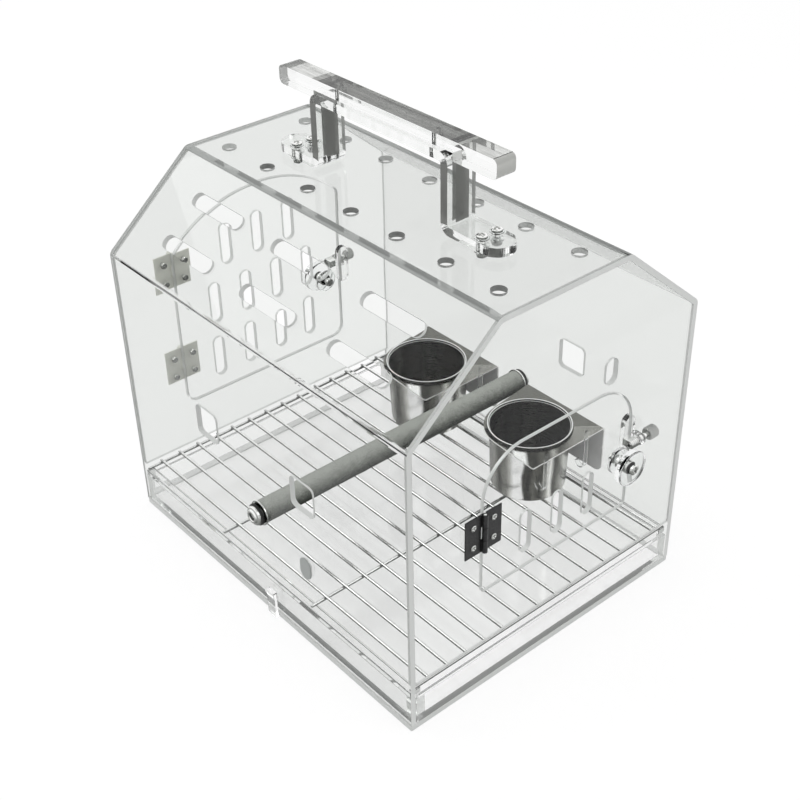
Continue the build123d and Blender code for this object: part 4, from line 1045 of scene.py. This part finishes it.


# The bar's top carries a painted reflection of its inner faces: dark streaks between the legs, pale
# ones beyond them. Its side is painted almost white, its ends even greys, and a fine painted grey
# line marks each corner.
bar_top = painted_streak_acrylic("thick_acrylic_bar_top", "#2e2f2c", "#a0a19e", (0.03, 1, 1), 4 * MM)
along_bar = (0.1, 1, 1)
bar_top_end = painted_streak_acrylic("thick_acrylic_bar_top_end", "#8f908d", "#f4f5f3", along_bar, 5 * MM)
bar_side = painted_streak_acrylic("thick_acrylic_bar_side", "#f2f3f2", "#ffffff", along_bar, 12 * MM)
bar_end = acrylic_edge("thick_acrylic_bar_end", "#cfd0cc", 0.3)
bar_far_end = acrylic_edge("thick_acrylic_far_end", "#8f908d", 0.3)
bar_line = acrylic_edge("thick_acrylic_polished_corner", "#8b8d8b", 0.1)
bar_materials = (bar_top, bar_side, bar_end, bar_far_end, bar_line, bar_top_end)
bar = merged_copy("handle_bar", "handle_bar_polished", bar_materials)
leg_reach, far_round = 88 * MM, 130 * MM
cut_across(bar, [((x, 0, 0), (1, 0, 0)) for x in (-leg_reach, leg_reach)])


def bar_faces(normals, centres):
    """Top between the legs, top beyond them, side, or one of the rounded ends of the bar."""
    number = bar_materials.index
    ends = np.where(centres[:, 0] < -far_round, number(bar_far_end), number(bar_end))
    beyond = np.abs(centres[:, 0]) >= leg_reach
    top = np.where(beyond, number(bar_top_end), number(bar_top))
    level = np.abs(normals[:, 2]) > 0.97
    beside = np.abs(normals[:, 1]) > 0.5
    return np.where(beside, number(bar_side), np.where(level, top, ends))


pick_faces(bar, bar_faces)
ease_edges(bar, 0.4 * MM, bar_materials.index(bar_line), 60)
# Painted reflection: the legs are dark through their middles and down their narrow sides, and light
# at their borders.
leg_dark = acrylic_edge("thick_acrylic_leg_dark", "#767774", 0.2)
leg_light = painted_streak_acrylic("thick_acrylic_leg_light", "#eceeec", "#ffffff", (1, 1, 0.2), 10 * MM)
strap = merged_copy("handle_strap", "handle_strap_bent", (leg_dark, leg_light, sheet_corner))
dark_from, dark_to = -6 * MM, 8 * MM
cut_across(strap, [((0, y, 0), (0, 1, 0)) for y in (dark_from, dark_to)])
low, high = box_of("handle_strap")[:2]
leg_foot, leg_top = low[2] + 9 * MM, high[2] - 8 * MM


def strap_faces(normals, centres):
    """Legs' broad faces go light, dark, light across them, their narrow sides are dark, and the run
    and the feet are light, all as painted reflection."""
    on_leg = (centres[:, 2] > leg_foot) & (centres[:, 2] < leg_top)
    broad = np.abs(normals[:, 0]) > 0.6
    middle = (centres[:, 1] > dark_from) & (centres[:, 1] < dark_to)
    narrow = np.abs(normals[:, 1]) > 0.9
    return np.where(on_leg & ((broad & middle) | narrow), 0, 1)


pick_faces(strap, strap_faces)
ease_edges(strap, 0.5 * MM, corner_slot)
washers = merged_copy("handle_washers", "handle_washers_clear", (clear_block,))
ease_edges(washers, 0.2 * MM)
set_screws("handle_bolts", (4.6, 3.3, 2.5, 0.8), 3.4 * MM, 2, 1, chrome)
set_screws("handle_bar_screws", (3.8, 2.3, 2, 0.7), 2.4 * MM, 2, -1, screw_steel)
set_nuts("handle_nuts", nut_flats, bore, 2)
